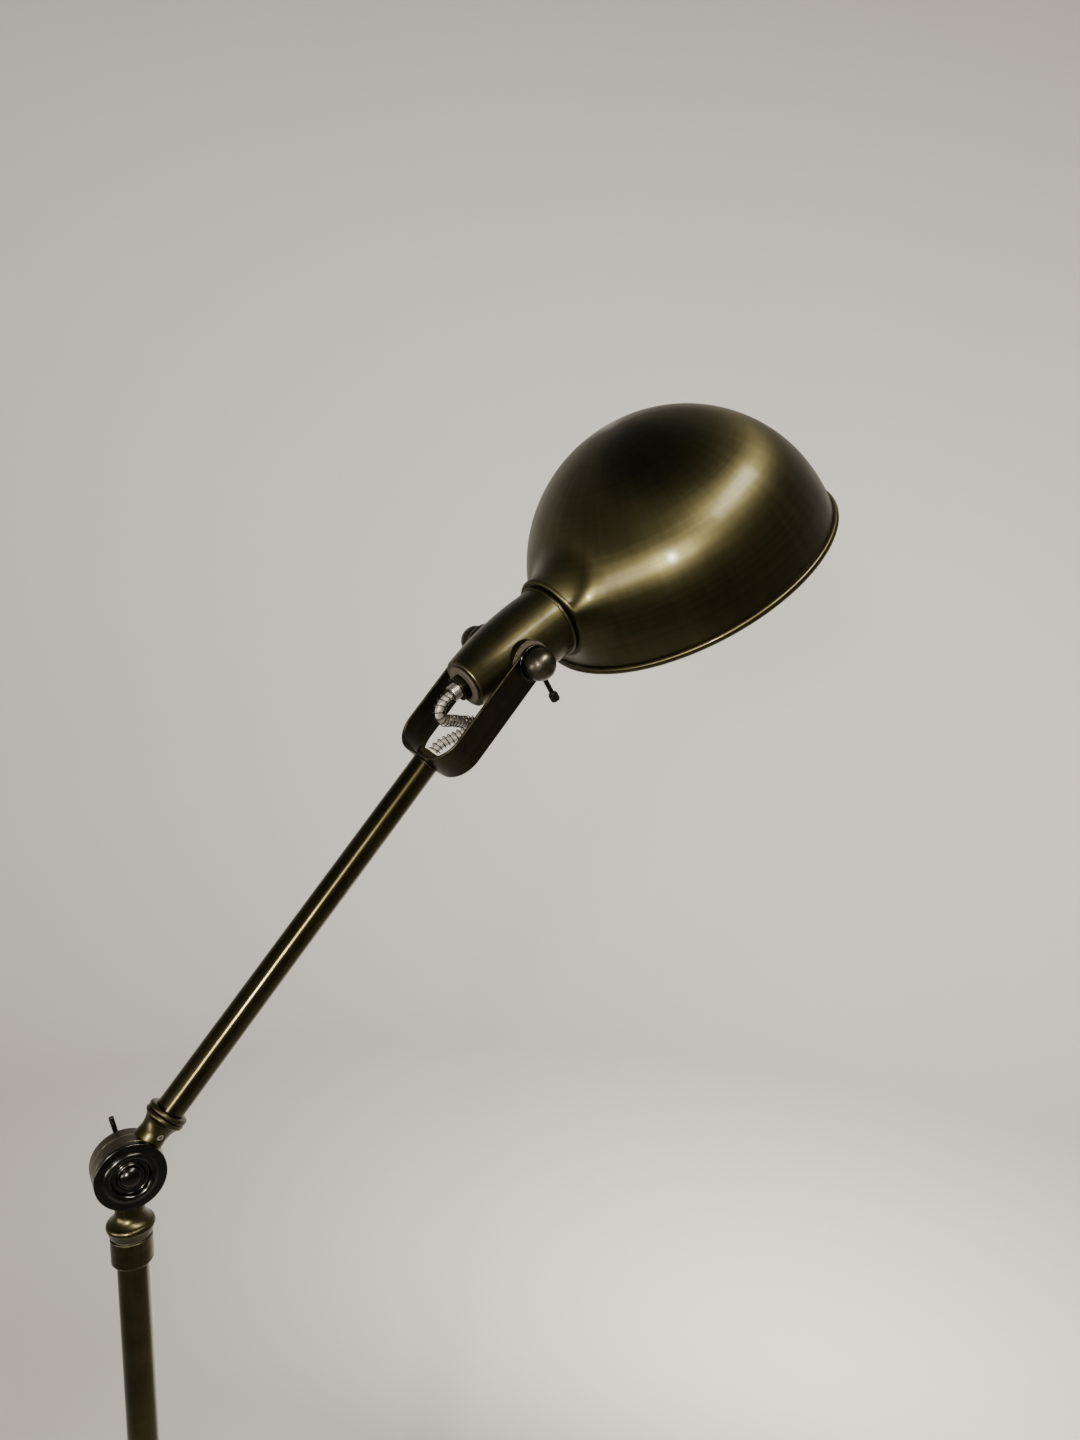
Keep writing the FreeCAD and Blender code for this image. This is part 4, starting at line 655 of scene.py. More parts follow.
class LAMP_OT_finishes(bpy.types.Operator):
    """Makes the lamp's metal, plastic, felt and glass finishes"""

    bl_idname = "lamp.finishes"
    bl_label = "Finishes"

    def execute(self, context):
        tones = context.scene.lamp_finish
        drawn_marks_group()
        patina_group()
        rubbed_edge_group()
        bronze, deep, edge = tuple(tones.bronze), tuple(tones.bronze_deep), tuple(tones.edge_bronze)
        steel, brass = tuple(tones.steel), tuple(tones.brass)
        gunmetal, ball = tuple(tones.gunmetal), tuple(tones.ball)
        metal("Spun Bronze", bronze, shaded(bronze, 0.72), edge, roughness=0.31, spread=0.10,
              patina_size=14.0, rings=(0.6, 1500.0), strokes=(70.0, 9.0), marks=0.9,
              stretch=0.8, coat=0.10, coat_rough=0.14, rub=0.15, relief=0.00002)
        metal("Satin Bronze", bronze, shaded(bronze, 0.5), edge, roughness=0.30, spread=0.14,
              patina_size=40.0, rings=(0.8, 1300.0), strokes=(50.0, 12.0), marks=0.7,
              stretch=0.45, coat=0.1, coat_rough=0.15, rub=0.25, relief=0.00002)
        metal("Tube Bronze", bronze, shaded(bronze, 0.5), edge, roughness=0.24, spread=0.04,
              patina_size=30.0, rings=(0.8, 1100.0), strokes=(60.0, 6.0), marks=0.3,
              stretch=0.6, coat=0.1, coat_rough=0.1, rub=0.2, relief=0.000004,
              lengthwise=True)
        metal("Dark Bronze", shaded(bronze, 0.6), deep, edge, roughness=0.36, spread=0.12,
              patina_size=36.0, rings=(40.0, 30.0), strokes=(60.0, 40.0), marks=0.8,
              stretch=0.3, coat=0.1, coat_rough=0.2, rub=0.3, relief=0.00002)
        metal("Knuckle Metal", gunmetal, shaded(gunmetal, 0.45), (0.13, 0.12, 0.10),
              roughness=0.20, spread=0.08, patina_size=60.0, rings=(1.0, 1500.0),
              strokes=(30.0, 20.0), marks=0.6, coat=0.1, coat_rough=0.15, rub=0.35,
              relief=0.00001)
        metal("Ball Metal", ball, shaded(ball, 0.4), edge, roughness=0.40, spread=0.22,
              patina_size=170.0, rings=(1.0, 900.0), strokes=(40.0, 30.0), marks=0.5,
              stretch=0.2, coat=0.1, coat_rough=0.12, rub=0.3, relief=0.00004, low=0.40,
              high=0.60)
        metal("Plain Steel", steel, shaded(steel, 0.6), (0.75, 0.73, 0.70), roughness=0.28,
              spread=0.12, patina_size=120.0, rings=(1.0, 1800.0), strokes=(30.0, 20.0),
              marks=0.5, stretch=0.3, coat=0.0, coat_rough=0.1, rub=0.6, relief=0.00002)
        metal("Spring Wire", (0.060, 0.052, 0.043), (0.022, 0.018, 0.014), edge,
              roughness=0.30, spread=0.1, patina_size=200.0, rings=(1.0, 900.0),
              strokes=(20.0, 200.0), marks=0.4, coat=0.0, coat_rough=0.1, rub=0.4,
              relief=0.00001)
        metal("Brass", brass, shaded(brass, 0.6), (0.80, 0.66, 0.38), roughness=0.26,
              spread=0.12, patina_size=90.0, rings=(1.0, 1500.0), strokes=(20.0, 20.0),
              marks=0.4, coat=0.0, coat_rough=0.1, rub=0.6, relief=0.00002)
        for name, light, dark, roughness, spread, grain_size, relief, metallic in (
                ("Cast Iron", (0.060, 0.058, 0.055), (0.030, 0.028, 0.026), 0.62, 0.2, 180.0,
                 0.0003, 0.7),
                ("Felt", (0.050, 0.050, 0.048), (0.022, 0.022, 0.021), 0.88, 0.1, 420.0,
                 0.0006, 0.0),
                ("Black Plastic", (0.030, 0.030, 0.031), (0.014, 0.014, 0.015), 0.38, 0.14,
                 90.0, 0.00004, 0.0),
                ("Fibre", (0.050, 0.040, 0.028), (0.024, 0.018, 0.012), 0.74, 0.14, 260.0,
                 0.0001, 0.0),
                ("Holder Plastic", (0.79, 0.77, 0.71), (0.68, 0.655, 0.59), 0.34, 0.12, 50.0,
                 0.00004, 0.0),
                ("Pale Bush", (0.72, 0.69, 0.60), (0.52, 0.48, 0.40), 0.36, 0.15, 220.0,
                 0.00004, 0.0)):
            plain(name, light, dark, roughness, spread, grain_size, relief, metallic)
        lead_cover_finish()
        lamp_glass_finish()
        return {"FINISHED"}


# ================================================================ base and post
class LAMP_OT_base(bpy.types.Operator):
    """Builds the round base cover and the post's foot"""

    bl_idname = "lamp.base"
    bl_label = "Base"

    def execute(self, context):
        base_r, crown, foot_r, foot_rise, post_r = millimetres(
            context.scene.lamp_sizes, "base_r", "base_crown", "foot_r", "foot_rise", "post_r")
        floor = places()["floor"]
        edge, rounding, sheet, low, pipe = 15, 6, 1.5, 1, 5.1
        cover = turned([
            (pipe, crown), (pipe, crown - sheet), (foot_r, crown - sheet),
            (base_r - rounding, edge - sheet),
            (base_r - sheet, edge - rounding, rounding - sheet, RIGHT),
            (base_r - sheet, low), (base_r, low, 0.35), (base_r, edge - rounding),
            (base_r - rounding, edge, rounding, LEFT), (foot_r, crown),
        ], floor, around=256)
        side = Matrix.Translation((-base_r * MM, 0, 7 * MM)) @ Matrix.Rotation(math.pi / 2, 4, "Y")
        inlet = turned([(0, -9), (5.1, -9), (5.1, 9), (0, 9)], side, around=48)
        dress("base_cover", [bored(cover, inlet)], "Satin Bronze", "base")
        top = crown + foot_rise
        foot = turned([
            (pipe, crown), (foot_r, crown, 0.4), (foot_r, crown + 3, 0.8),
            (11.5, top - 3, 34, RIGHT), (11.5, top, 0.7), (post_r, top, 0.2), (post_r, top - 6),
            (pipe, top - 6)], floor)
        dress("post_foot", [foot], "Satin Bronze", "base")
        return {"FINISHED"}


class LAMP_OT_post(bpy.types.Operator):
    """Builds the post's three tubes and the ferrule at its top"""

    bl_idname = "lamp.post"
    bl_label = "Post"

    def execute(self, context):
        sizes = context.scene.lamp_sizes
        post_r, wall, crown, foot_rise = millimetres(sizes, "post_r", "tube_wall", "base_crown",
                                                     "foot_rise")
        rise, = millimetres(context.scene.lamp_stance, "knuckle_rise")
        floor = places()["floor"]
        half_seam = 0.4
        spans = (("lower", crown + foot_rise - 6, 410 - half_seam),
                 ("middle", 410 + half_seam, 790 - half_seam),
                 ("upper", 790 + half_seam, rise - 41.8))
        ease = 0.3
        for name, low, high in spans:
            tube = turned([(post_r - wall, low), (post_r, low, ease), (post_r, high, ease),
                           (post_r - wall, high)], floor)
            dress("post_%s_tube" % name, [tube], "Tube Bronze", "base")
        knuckle = places()["knuckle"]
        ferrule_r, top, low, bore = 11, -38.8, -55.3, 5.5
        ferrule = turned([
            (bore, top - 3), (post_r + 0.1, top - 3), (post_r + 0.1, low, 0.2),
            (ferrule_r - 2.4, low, 0.3), (ferrule_r, low + 2.4, 0.4), (ferrule_r, top, 0.55),
            (bore, top)], knuckle)
        dress("post_ferrule", [ferrule], "Satin Bronze", "base")
        return {"FINISHED"}


# ================================================================ knuckle
class LAMP_OT_knuckle(bpy.types.Operator):
    """Builds the knuckle: two discs with their necks, the cap, its screw and the clamp"""

    bl_idname = "lamp.knuckle"
    bl_label = "Knuckle"

    def execute(self, context):
        drum_r, half = millimetres(context.scene.lamp_sizes, "drum_r", "drum_half")
        knuckle, arm = places()["knuckle"], places()["arm"]
        seam, bevel = 0.15, 0.7
        relief = (drum_r + FACE_GAP) * MM
        neck = turned([
            (0, -12), (0, -38), (5.2, -38), (10.8, -38, 0.3), (12.7, -32.75, 0.9),
            (11.95, -30.5, 3.0, LEFT), (7.7, -24.5, 8.5, RIGHT)]
            + [(7.7, up) for up in (-18.8, -17, -15, -12)], knuckle)
        neck = relieved(neck, knuckle, relief, 1, False)
        stem = turned([(0, -37), (0, -54.8), (5.2, -54.8, 0.3), (5.2, -37)], knuckle, around=64)
        rear = turned([(0, seam), (drum_r, seam, 0.25), (drum_r, half - bevel, 0.2),
                       (drum_r - bevel, half, 0.2), (0, half)], knuckle, "Y")
        dress("post_knuckle", [neck, stem, rear], "Satin Bronze", "post_head")
        washer = turned([(5.3, -38.7), (10.2, -38.7, 0.12), (10.2, -38.1, 0.12), (5.3, -38.1)],
                        knuckle)
        dress("swivel_washer", [washer], "Plain Steel", "post_head")

        ring_r, start, high = 10.2, 29.4, 3.0
        arm_neck = turned([(0, 9)] + [(8.2, up) for up in (9, 12, 15, 17, 19.5)] + [
            (ring_r, start, 13, RIGHT), (ring_r, start + high, 1.56, LEFT),
            (ring_r, start + 2 * high, 1.56, LEFT), (8.1, start + 2 * high, 0.3),
            (8.1, start + 2 * high - 4), (0, start + 2 * high - 4)], arm)
        arm_neck = relieved(arm_neck, arm, relief, -1, True)
        grub_turn, grub_along, grub_r = 17, 22.5, 2.0
        spot = (arm @ Matrix.Translation((0, 0, grub_along * MM))
                @ Matrix.Rotation(math.radians(grub_turn), 4, "Z")
                @ Matrix.Rotation(math.pi / 2, 4, "X"))
        hole = turned([(0, 5.1), (grub_r + 0.1, 5.1), (grub_r + 0.1, 14), (0, 14)], spot, around=48)
        front = turned([(0, -seam), (drum_r, -seam, 0.25), (drum_r, -half + bevel, 0.2),
                        (drum_r - bevel, -half, 0.2), (0, -half)], arm, "Y")
        dress("arm_knuckle", [bored(arm_neck, hole), front], "Satin Bronze", "arm")
        grub = turned([(0, 5.1), (grub_r, 5.1), (grub_r, 7.2, 0.25), (0, 7.2)], spot, around=48)
        key = nut(0.95, 0.01, 5.6, 7.6, spot)
        dress("grub_screw", [bored(grub, key)], "Plain Steel", "arm")

        back, face = -half, -half - 3.9
        well, seat = face + 1.9, face + 0.95
        cap = turned([
            (STUD_HOLE, back), (drum_r, back, 0.2), (drum_r, face + 0.9),
            (drum_r - 0.9, face, 0.9, RIGHT), (13.7, face, 0.25), (11.8, face - 1.1, 2.45, RIGHT),
            (9.9, face, 2.45, RIGHT), (9.35, well, 0.3), (7.6, well, 0.2),
            (6.7, seat, 0.35), (STUD_HOLE, seat)], arm, "Y")
        dress("knuckle_cap", [cap], "Knuckle Metal", "arm")
        screw = turned([(0, seat - 3.4), (5.6, seat - 1.31, 6.6, LEFT), (5.6, seat, 0.2),
                        (3.0, seat), (3.0, -5.5), (0, -5.5)], arm, "Y")
        dress("domed_screw", [screw], "Knuckle Metal", "arm")

        low = half + FACE_GAP
        high = low + 8.6
        hub = turned([(0, -3.2), (2.9, -3.2), (2.9, low), (6.2, low, 0.3), (6.2, high - 2.07),
                      (4.34, high, 3.1, LEFT), (0, high)], knuckle, "Y")
        bar_place = (knuckle @ Matrix.Translation((0, 12 * MM, 0))
                     @ Matrix.Rotation(math.radians(-12.5), 4, "Y"))
        bar_hole = turned([(0, -12), (1.5, -12), (1.5, 12), (0, 12)], bar_place, around=48)
        dress("clamp_hub", [bored(hub, bar_hole)], "Knuckle Metal", "clamp")
        bar = turned([(0, -24.8), (1.4, -24.8, 0.35), (1.4, 24.8, 0.35), (0, 24.8)], bar_place,
                     around=64)
        dress("clamp_bar", [bar], "Knuckle Metal", "clamp")
        return {"FINISHED"}


# ================================================================ arm
class LAMP_OT_arm(bpy.types.Operator):
    """Builds the arm's tube and the plug in its end"""

    bl_idname = "lamp.arm"
    bl_label = "Arm"

    def execute(self, context):
        arm_r, wall, drop = millimetres(context.scene.lamp_sizes, "arm_r", "tube_wall",
                                        "fork_drop")
        reach, = millimetres(context.scene.lamp_stance, "arm_reach")
        arm = places()["arm"]
        end = reach - drop - 1.5
        tube = turned([(arm_r - wall, 30.9), (arm_r, 30.9, 0.3), (arm_r, end, 0.3),
                       (arm_r - wall, end)], arm)
        dress("arm_tube", [tube], "Tube Bronze", "arm")
        plug = turned([(5.3, end - 18), (6.4, end - 18), (6.4, end), (arm_r, end, 0.2),
                       (arm_r, end + 1.2, 0.4), (5.3, end + 1.2)], arm)
        dress("arm_plug", [plug], "Satin Bronze", "arm")
        return {"FINISHED"}


# ================================================================ fork
def strap(place, half_span, thick, wide, drop, bend):
    """The fork's bent strap with round ears, its edges eased all round."""
    middle = half_span - thick / 2
    turn_r = bend - thick / 2
    half = wide / 2
    stations = [(middle, half * math.sin(a), 1.0, 0.0) for a in np.linspace(1.5, 0, 22)]
    stations += [(middle, up, 1.0, 0.0) for up in np.linspace(0, -drop + bend, 16)[1:]]
    for a in np.linspace(0, math.pi / 2, 25)[1:]:
        stations.append((middle - turn_r * (1 - math.cos(a)),
                         -drop + bend - turn_r * math.sin(a), math.cos(a), -math.sin(a)))
    across = middle - turn_r
    stations += [(y, -drop + thick / 2, 0.0, -1.0) for y in np.linspace(across, 0, 5)[1:]]
    mirrored = [(-y, z, -ny, nz) for y, z, ny, nz in reversed(stations[:-1])]
    stations += mirrored
    points, grain, way, rubbed, rows = [], [], [], [], []
    along, before = 0.0, None
    for y, z, ny, nz in stations:
        w = math.sqrt(max(half ** 2 - max(z, 0) ** 2, 0))
        ease = min(0.55, w * 0.5, thick * 0.45)
        if before is not None:
            along += math.hypot(y - before[0], z - before[1])
        before = (y, z)
        outline = eased([(w, -thick / 2, ease), (w, thick / 2, ease), (-w, thick / 2, ease),
                         (-w, -thick / 2, ease)])
        rows.append(list(range(len(points), len(points) + len(outline))))
        for (x, out), wear in outline:
            points.append((x * MM, (y + ny * out) * MM, (z + nz * out) * MM))
            grain.append((x / half, out / half, along * MM))
            way.append((0, -nz, ny))
            rubbed.append(wear)
    faces = [list(reversed(rows[0])), rows[-1]]
    for one, two in zip(rows, rows[1:]):
        count = len(one)
        faces += [[one[k], one[(k + 1) % count], two[(k + 1) % count], two[k]]
                  for k in range(count)]
    return Skin(points, faces, grain, way, rubbed).moved(place)


class LAMP_OT_fork(bpy.types.Operator):
    """Builds the strap fork with its nut, washer and the pale bush round the lead"""

    bl_idname = "lamp.fork"
    bl_label = "Fork"

    def execute(self, context):
        half, thick, wide, drop, bend = millimetres(
            context.scene.lamp_sizes, "fork_half", "fork_thick", "fork_wide", "fork_drop",
            "fork_bend")
        fork = places()["fork"]
        skin = strap(fork, half, thick, wide, drop, bend)
        dress("fork", [skin], "Dark Bronze", "fork_body")
        floor = -drop + thick
        washer_r, nut_low = half - bend, floor + WASHER
        washer = turned([(PIPE_HOLE, floor), (washer_r, floor, 0.15), (washer_r, nut_low, 0.3),
                         (PIPE_HOLE, nut_low)], fork)
        dress("fork_washer", [washer], "Dark Bronze", "fork_body")
        dress("fork_nut", [nut(8, PIPE_R, nut_low, nut_low + 3.5, fork)], "Dark Bronze",
              "fork_body", 28)
        top = nut_low + 3.6
        bush = turned([(2.8, top - 5), (3.4, top - 5), (3.4, top), (4.6, top),
                       (4.6, top + 0.7), (3.9, top + 1.4, 0.7, LEFT), (2.8, top + 1.4, 0.25)],
                      fork, around=96)
        dress("lead_bush", [bush], "Pale Bush", "fork_body")
        return {"FINISHED"}


# ================================================================ shade pivot and cup
class LAMP_OT_pivot(bpy.types.Operator):
    """Builds the two ball nuts and the washers under them"""

    bl_idname = "lamp.pivot"
    bl_label = "Ball nuts"

    def execute(self, context):
        half, ball_r, out = millimetres(context.scene.lamp_sizes, "fork_half", "ball_r",
                                        "ball_out")
        head = places()["head"]
        for prefix, turn in (("near", 90), ("far", -90)):
            side = head @ Matrix.Rotation(math.radians(turn), 4, "X")
            low = half + 0.1
            washer = turned([(3.3, low), (11, low, 0.15), (11, low + WASHER, 0.35),
                             (3.3, low + WASHER)], side)
            dress(prefix + "_knob_washer", [washer], "Knuckle Metal", "head")
            low += WASHER
            top = low + 1.3
            waist = math.sqrt(ball_r ** 2 - (out - top) ** 2)
            ball = turned([
                (STUD_HOLE, low + 7.5), (STUD_HOLE, low), (8.6, low, 0.2), (8.6, top, 0.35),
                (waist, top), (ball_r, out, ball_r, LEFT),
                (ball_r * 0.28, out + ball_r * 0.96, ball_r, LEFT), (0, out + ball_r * 0.972),
                (0, low + 7.5)], side)
            dress(prefix + "_ball_nut", [ball], "Ball Metal", prefix + "_nut")
        return {"FINISHED"}


class LAMP_OT_cup(bpy.types.Operator):
    """Builds the socket cup with its washer, nut, threaded pipe and switch"""

    bl_idname = "lamp.cup"
    bl_label = "Cup"

    def execute(self, context):
        rear, front, rear_r, front_r = millimetres(
            context.scene.lamp_sizes, "cup_rear", "cup_front", "cup_rear_r", "cup_front_r")
        head = places()["head"]
        wall, lip, sweep = 1.6, 1.3, 240
        shell = turned([
            (PIPE_HOLE, -rear), (rear_r, -rear, 0.9), (front_r, front - lip * 2, sweep, LEFT),
            (front_r, front, lip * 1.02, LEFT), (front_r - wall, front, 0.3),
            (rear_r - wall, -rear + wall, sweep, RIGHT), (PIPE_HOLE, -rear + wall)], head,
            around=192)
        bosses = []
        for turn in (90, -90):
            side = head @ Matrix.Rotation(math.radians(turn), 4, "X")
            bosses.append(turned([(STUD_HOLE, 17), (STUD_HOLE, 22.8), (13, 22.8, 0.5), (13, 16.4),
                                  (8, 16.4)], side))
        switch = (head @ Matrix.Translation((0, 0, 14 * MM))
                  @ Matrix.Rotation(math.radians(-14), 4, "Z")
                  @ Matrix.Rotation(math.pi / 2, 4, "Y"))
        hole = turned([(0, 16.5), (2.2, 16.5), (2.2, 30), (0, 30)], switch, around=48)
        dress("socket_cup", [bored(shell, hole)] + bosses, "Satin Bronze", "head")

        nut_high = -rear - WASHER
        washer = turned([(PIPE_HOLE, nut_high), (12.3, nut_high, 0.4), (12.3, -rear, 0.15),
                         (PIPE_HOLE, -rear)], head)
        dress("rear_washer", [washer], "Fibre", "head")
        nut_low = nut_high - 4.5
        dress("rear_nut", [nut(7.5, PIPE_R, nut_low, nut_high, head)], "Dark Bronze", "head",
              28)
        tail = nut_low - 4.9
        ridges = []
        for k in range(5):
            crest = tail + 0.7 + k
            ridges += [(4.55, crest - 0.42), (PIPE_R, crest, 0.1)]
        pipe = turned([(2.8, 7), (2.8, tail, 0.25), (4.5, tail, 0.2)] + ridges
                      + [(4.55, crest + 0.5), (PIPE_R, crest + 0.9), (PIPE_R, 7)], head,
                      around=96)
        dress("cup_pipe", [pipe], "Plain Steel", "head")

        stem = turned([(0, 16.5), (1.6, 16.5), (1.6, 38.6), (0, 38.6)], switch, around=48)
        dress("switch_stem", [stem], "Knuckle Metal", "switch")
        low, high, knob_r = 38.6, 44.4, 3.0
        knob = turned([(0, low), (knob_r - 0.3, low, 0.3), (knob_r - 0.3, high, 0.5), (0, high)],
                      switch, around=96)
        ribbed = knurl(switch, (knob_r - 0.28) * MM, (low + 0.9) * MM,
                       (high - 0.9) * MM)
        dress("switch_knob", [knob, ribbed], "Knuckle Metal", "switch")
        return {"FINISHED"}


# ================================================================ trees for what repeats
def run_tree(tree, values):
    """The mesh that a tree makes: its inputs are set by identifier, then it is evaluated."""
    carrier = bpy.data.objects.new(tree.name, bpy.data.meshes.new(tree.name))
    bpy.context.scene.collection.objects.link(carrier)
    modifier = carrier.modifiers.new(tree.name, "NODES")
    modifier.node_group = tree
    for item in tree.interface.items_tree:
        if item.item_type == "SOCKET" and item.in_out == "INPUT" and item.name in values:
            modifier[item.identifier] = values[item.name]
    graph = bpy.context.evaluated_depsgraph_get()
    mesh = bpy.data.meshes.new_from_object(carrier.evaluated_get(graph))
    bpy.data.objects.remove(carrier)
    if not mesh.polygons:
        raise RuntimeError("%s made no faces" % tree.name)
    return mesh


def ribs_tree():
    """Half round ribs set evenly round a cylinder, along its axis."""
    tree = bpy.data.node_groups.new("Ribs", "GeometryNodeTree")
    group_socket(tree, "Geometry", "NodeSocketGeometry")
    group_socket(tree, "Count", "NodeSocketInt", default=24)
    group_socket(tree, "Radius", "NodeSocketFloat", default=0.003)
    group_socket(tree, "Low", "NodeSocketFloat", default=0.0)
    group_socket(tree, "High", "NodeSocketFloat", default=0.005)
    group_socket(tree, "Rib Radius", "NodeSocketFloat", default=0.0003)
    group_socket(tree, "Finish", "NodeSocketMaterial")
    group_socket(tree, "Geometry", "NodeSocketGeometry", out=True)
    start = tree.nodes.new("NodeGroupInput")
    end = tree.nodes.new("NodeGroupOutput")
    circle = tree.nodes.new("GeometryNodeMeshCircle")
    circle.fill_type = "NONE"
    rib = tree.nodes.new("GeometryNodeMeshCylinder")
    rib.inputs["Vertices"].default_value = 8
    tall = node(tree, "ShaderNodeMath", operation="SUBTRACT")
    middle = node(tree, "ShaderNodeMath", operation="ADD")
    half = node(tree, "ShaderNodeMath", operation="MULTIPLY")
    half.inputs[1].default_value = 0.5
    lift = tree.nodes.new("ShaderNodeCombineXYZ")
    raised = tree.nodes.new("GeometryNodeSetPosition")
    spread = tree.nodes.new("GeometryNodeInstanceOnPoints")
    real = tree.nodes.new("GeometryNodeRealizeInstances")
    coat = tree.nodes.new("GeometryNodeSetMaterial")
    linked(tree,
           (start.outputs["Count"], circle.inputs["Vertices"]),
           (start.outputs["Radius"], circle.inputs["Radius"]),
           (start.outputs["High"], tall.inputs[0]), (start.outputs["Low"], tall.inputs[1]),
           (start.outputs["High"], middle.inputs[0]), (start.outputs["Low"], middle.inputs[1]),
           (middle.outputs["Value"], half.inputs[0]), (half.outputs["Value"], lift.inputs["Z"]),
           (tall.outputs["Value"], rib.inputs["Depth"]),
           (start.outputs["Rib Radius"], rib.inputs["Radius"]),
           (circle.outputs["Mesh"], raised.inputs["Geometry"]),
           (lift.outputs["Vector"], raised.inputs["Offset"]),
           (raised.outputs["Geometry"], spread.inputs["Points"]),
           (rib.outputs["Mesh"], spread.inputs["Instance"]),
           (spread.outputs["Instances"], real.inputs["Geometry"]),
           (real.outputs["Geometry"], coat.inputs["Geometry"]),
           (start.outputs["Finish"], coat.inputs["Material"]),
           (coat.outputs["Geometry"], end.inputs["Geometry"]))
    return tree


def knurl(place, radius, low, high, count=24):
    """Ribs round a knob as a skin in the knob's place."""
    mesh = run_tree(ribs_tree(), {
        "Count": count, "Radius": radius, "Low": low, "High": high, "Rib Radius": 0.3 * MM,
        "Finish": bpy.data.materials["Knuckle Metal"]})
    points = np.array([vertex.co for vertex in mesh.vertices], float)
    turn = np.arctan2(points[:, 1], points[:, 0])
    grain = np.column_stack((np.cos(turn), np.sin(turn), points[:, 2]))
    around = np.column_stack((-np.sin(turn), np.cos(turn), 0 * turn))
    wear = (np.hypot(points[:, 0], points[:, 1]) > radius).astype(float)
    faces = [list(face.vertices) for face in mesh.polygons]
    return Skin(points, faces, grain, around, wear).moved(place)


def wound_tree():
    """A wire wound round a path: the path is resampled, each point goes out from it by the
    winding radius and round it by the pitch, and the wire is swept along the result."""
    tree = bpy.data.node_groups.new("Wound Wire", "GeometryNodeTree")
    group_socket(tree, "Geometry", "NodeSocketGeometry")
    group_socket(tree, "Path", "NodeSocketObject")
    group_socket(tree, "Winding Radius", "NodeSocketFloat", default=0.0034)
    group_socket(tree, "Wire Radius", "NodeSocketFloat", default=0.00035)
    group_socket(tree, "Pitch", "NodeSocketFloat", default=0.003)
    group_socket(tree, "Step", "NodeSocketFloat", default=0.0001)
    group_socket(tree, "Finish", "NodeSocketMaterial")
    group_socket(tree, "Geometry", "NodeSocketGeometry", out=True)
    start = tree.nodes.new("NodeGroupInput")
    end = tree.nodes.new("NodeGroupOutput")
    info = tree.nodes.new("GeometryNodeObjectInfo")
    info.transform_space = "RELATIVE"
    resample = tree.nodes.new("GeometryNodeResampleCurve")
    resample.mode = "LENGTH"
    parameter = tree.nodes.new("GeometryNodeSplineParameter")
    normal = tree.nodes.new("GeometryNodeInputNormal")
    tangent = tree.nodes.new("GeometryNodeInputTangent")
    side = node(tree, "ShaderNodeVectorMath", operation="CROSS_PRODUCT")
    turns = node(tree, "ShaderNodeMath", operation="DIVIDE")
    full = node(tree, "ShaderNodeMath", operation="MULTIPLY")
    full.inputs[1].default_value = 2 * math.pi
    cosine = node(tree, "ShaderNodeMath", operation="COSINE")
    sine = node(tree, "ShaderNodeMath", operation="SINE")
    one = node(tree, "ShaderNodeVectorMath", operation="SCALE")
    two = node(tree, "ShaderNodeVectorMath", operation="SCALE")
    both = node(tree, "ShaderNodeVectorMath", operation="ADD")
    out = node(tree, "ShaderNodeVectorMath", operation="SCALE")
    move = tree.nodes.new("GeometryNodeSetPosition")
    ring = tree.nodes.new("GeometryNodeCurvePrimitiveCircle")
    ring.inputs["Resolution"].default_value = 10
    sweep = tree.nodes.new("GeometryNodeCurveToMesh")
    sweep.inputs["Fill Caps"].default_value = True
    real = tree.nodes.new("GeometryNodeRealizeInstances")
    coat = tree.nodes.new("GeometryNodeSetMaterial")
    linked(tree,
           (start.outputs["Path"], info.inputs["Object"]),
           (info.outputs["Geometry"], resample.inputs["Curve"]),
           (start.outputs["Step"], resample.inputs["Length"]),
           (parameter.outputs["Length"], turns.inputs[0]),
           (start.outputs["Pitch"], turns.inputs[1]),
           (turns.outputs["Value"], full.inputs[0]),
           (full.outputs["Value"], cosine.inputs[0]), (full.outputs["Value"], sine.inputs[0]),
           (tangent.outputs["Tangent"], side.inputs[0]), (normal.outputs["Normal"], side.inputs[1]),
           (normal.outputs["Normal"], one.inputs[0]),
           (cosine.outputs["Value"], one.inputs["Scale"]),
           (side.outputs["Vector"], two.inputs[0]), (sine.outputs["Value"], two.inputs["Scale"]),
           (one.outputs["Vector"], both.inputs[0]), (two.outputs["Vector"], both.inputs[1]),
           (both.outputs["Vector"], out.inputs[0]),
           (start.outputs["Winding Radius"], out.inputs["Scale"]),
           (resample.outputs["Curve"], move.inputs["Geometry"]),
           (out.outputs["Vector"], move.inputs["Offset"]),
           (start.outputs["Wire Radius"], ring.inputs["Radius"]),
           (move.outputs["Geometry"], sweep.inputs["Curve"]),
           (ring.outputs["Curve"], sweep.inputs["Profile Curve"]),
           (sweep.outputs["Mesh"], real.inputs["Geometry"]),
           (real.outputs["Geometry"], coat.inputs["Geometry"]),
           (start.outputs["Finish"], coat.inputs["Material"]),
           (coat.outputs["Geometry"], end.inputs["Geometry"]))
    return tree


# ================================================================ lead and its spring
# The lead's line in the fork's frame, from inside the cup's pipe, round its loop between the
# straps and into the bush. The spline runs near these points, not through them.
LEAD_LINE = (
    (-13.7, 0.0, -38.6), (-14.4, 0.0, -41.5), (-16.6, 0.3, -46.0), (-17.2, -1.3, -55.4),
    (-8.4, -0.2, -58.0), (-1.8, 2.4, -52.6), (5.2, 3.6, -49.9), (12.2, 7.4, -46.0),
    (17.0, 2.0, -40.8), (12.0, -7.6, -40.4), (8.5, -7.0, -48.6), (5.6, -4.2, -55.6),
    (2.8, -2.2, -62.6), (-0.4, 0.4, -69.4), (0.0, 0.0, -74.6), (0.0, 0.0, -77.6),
)


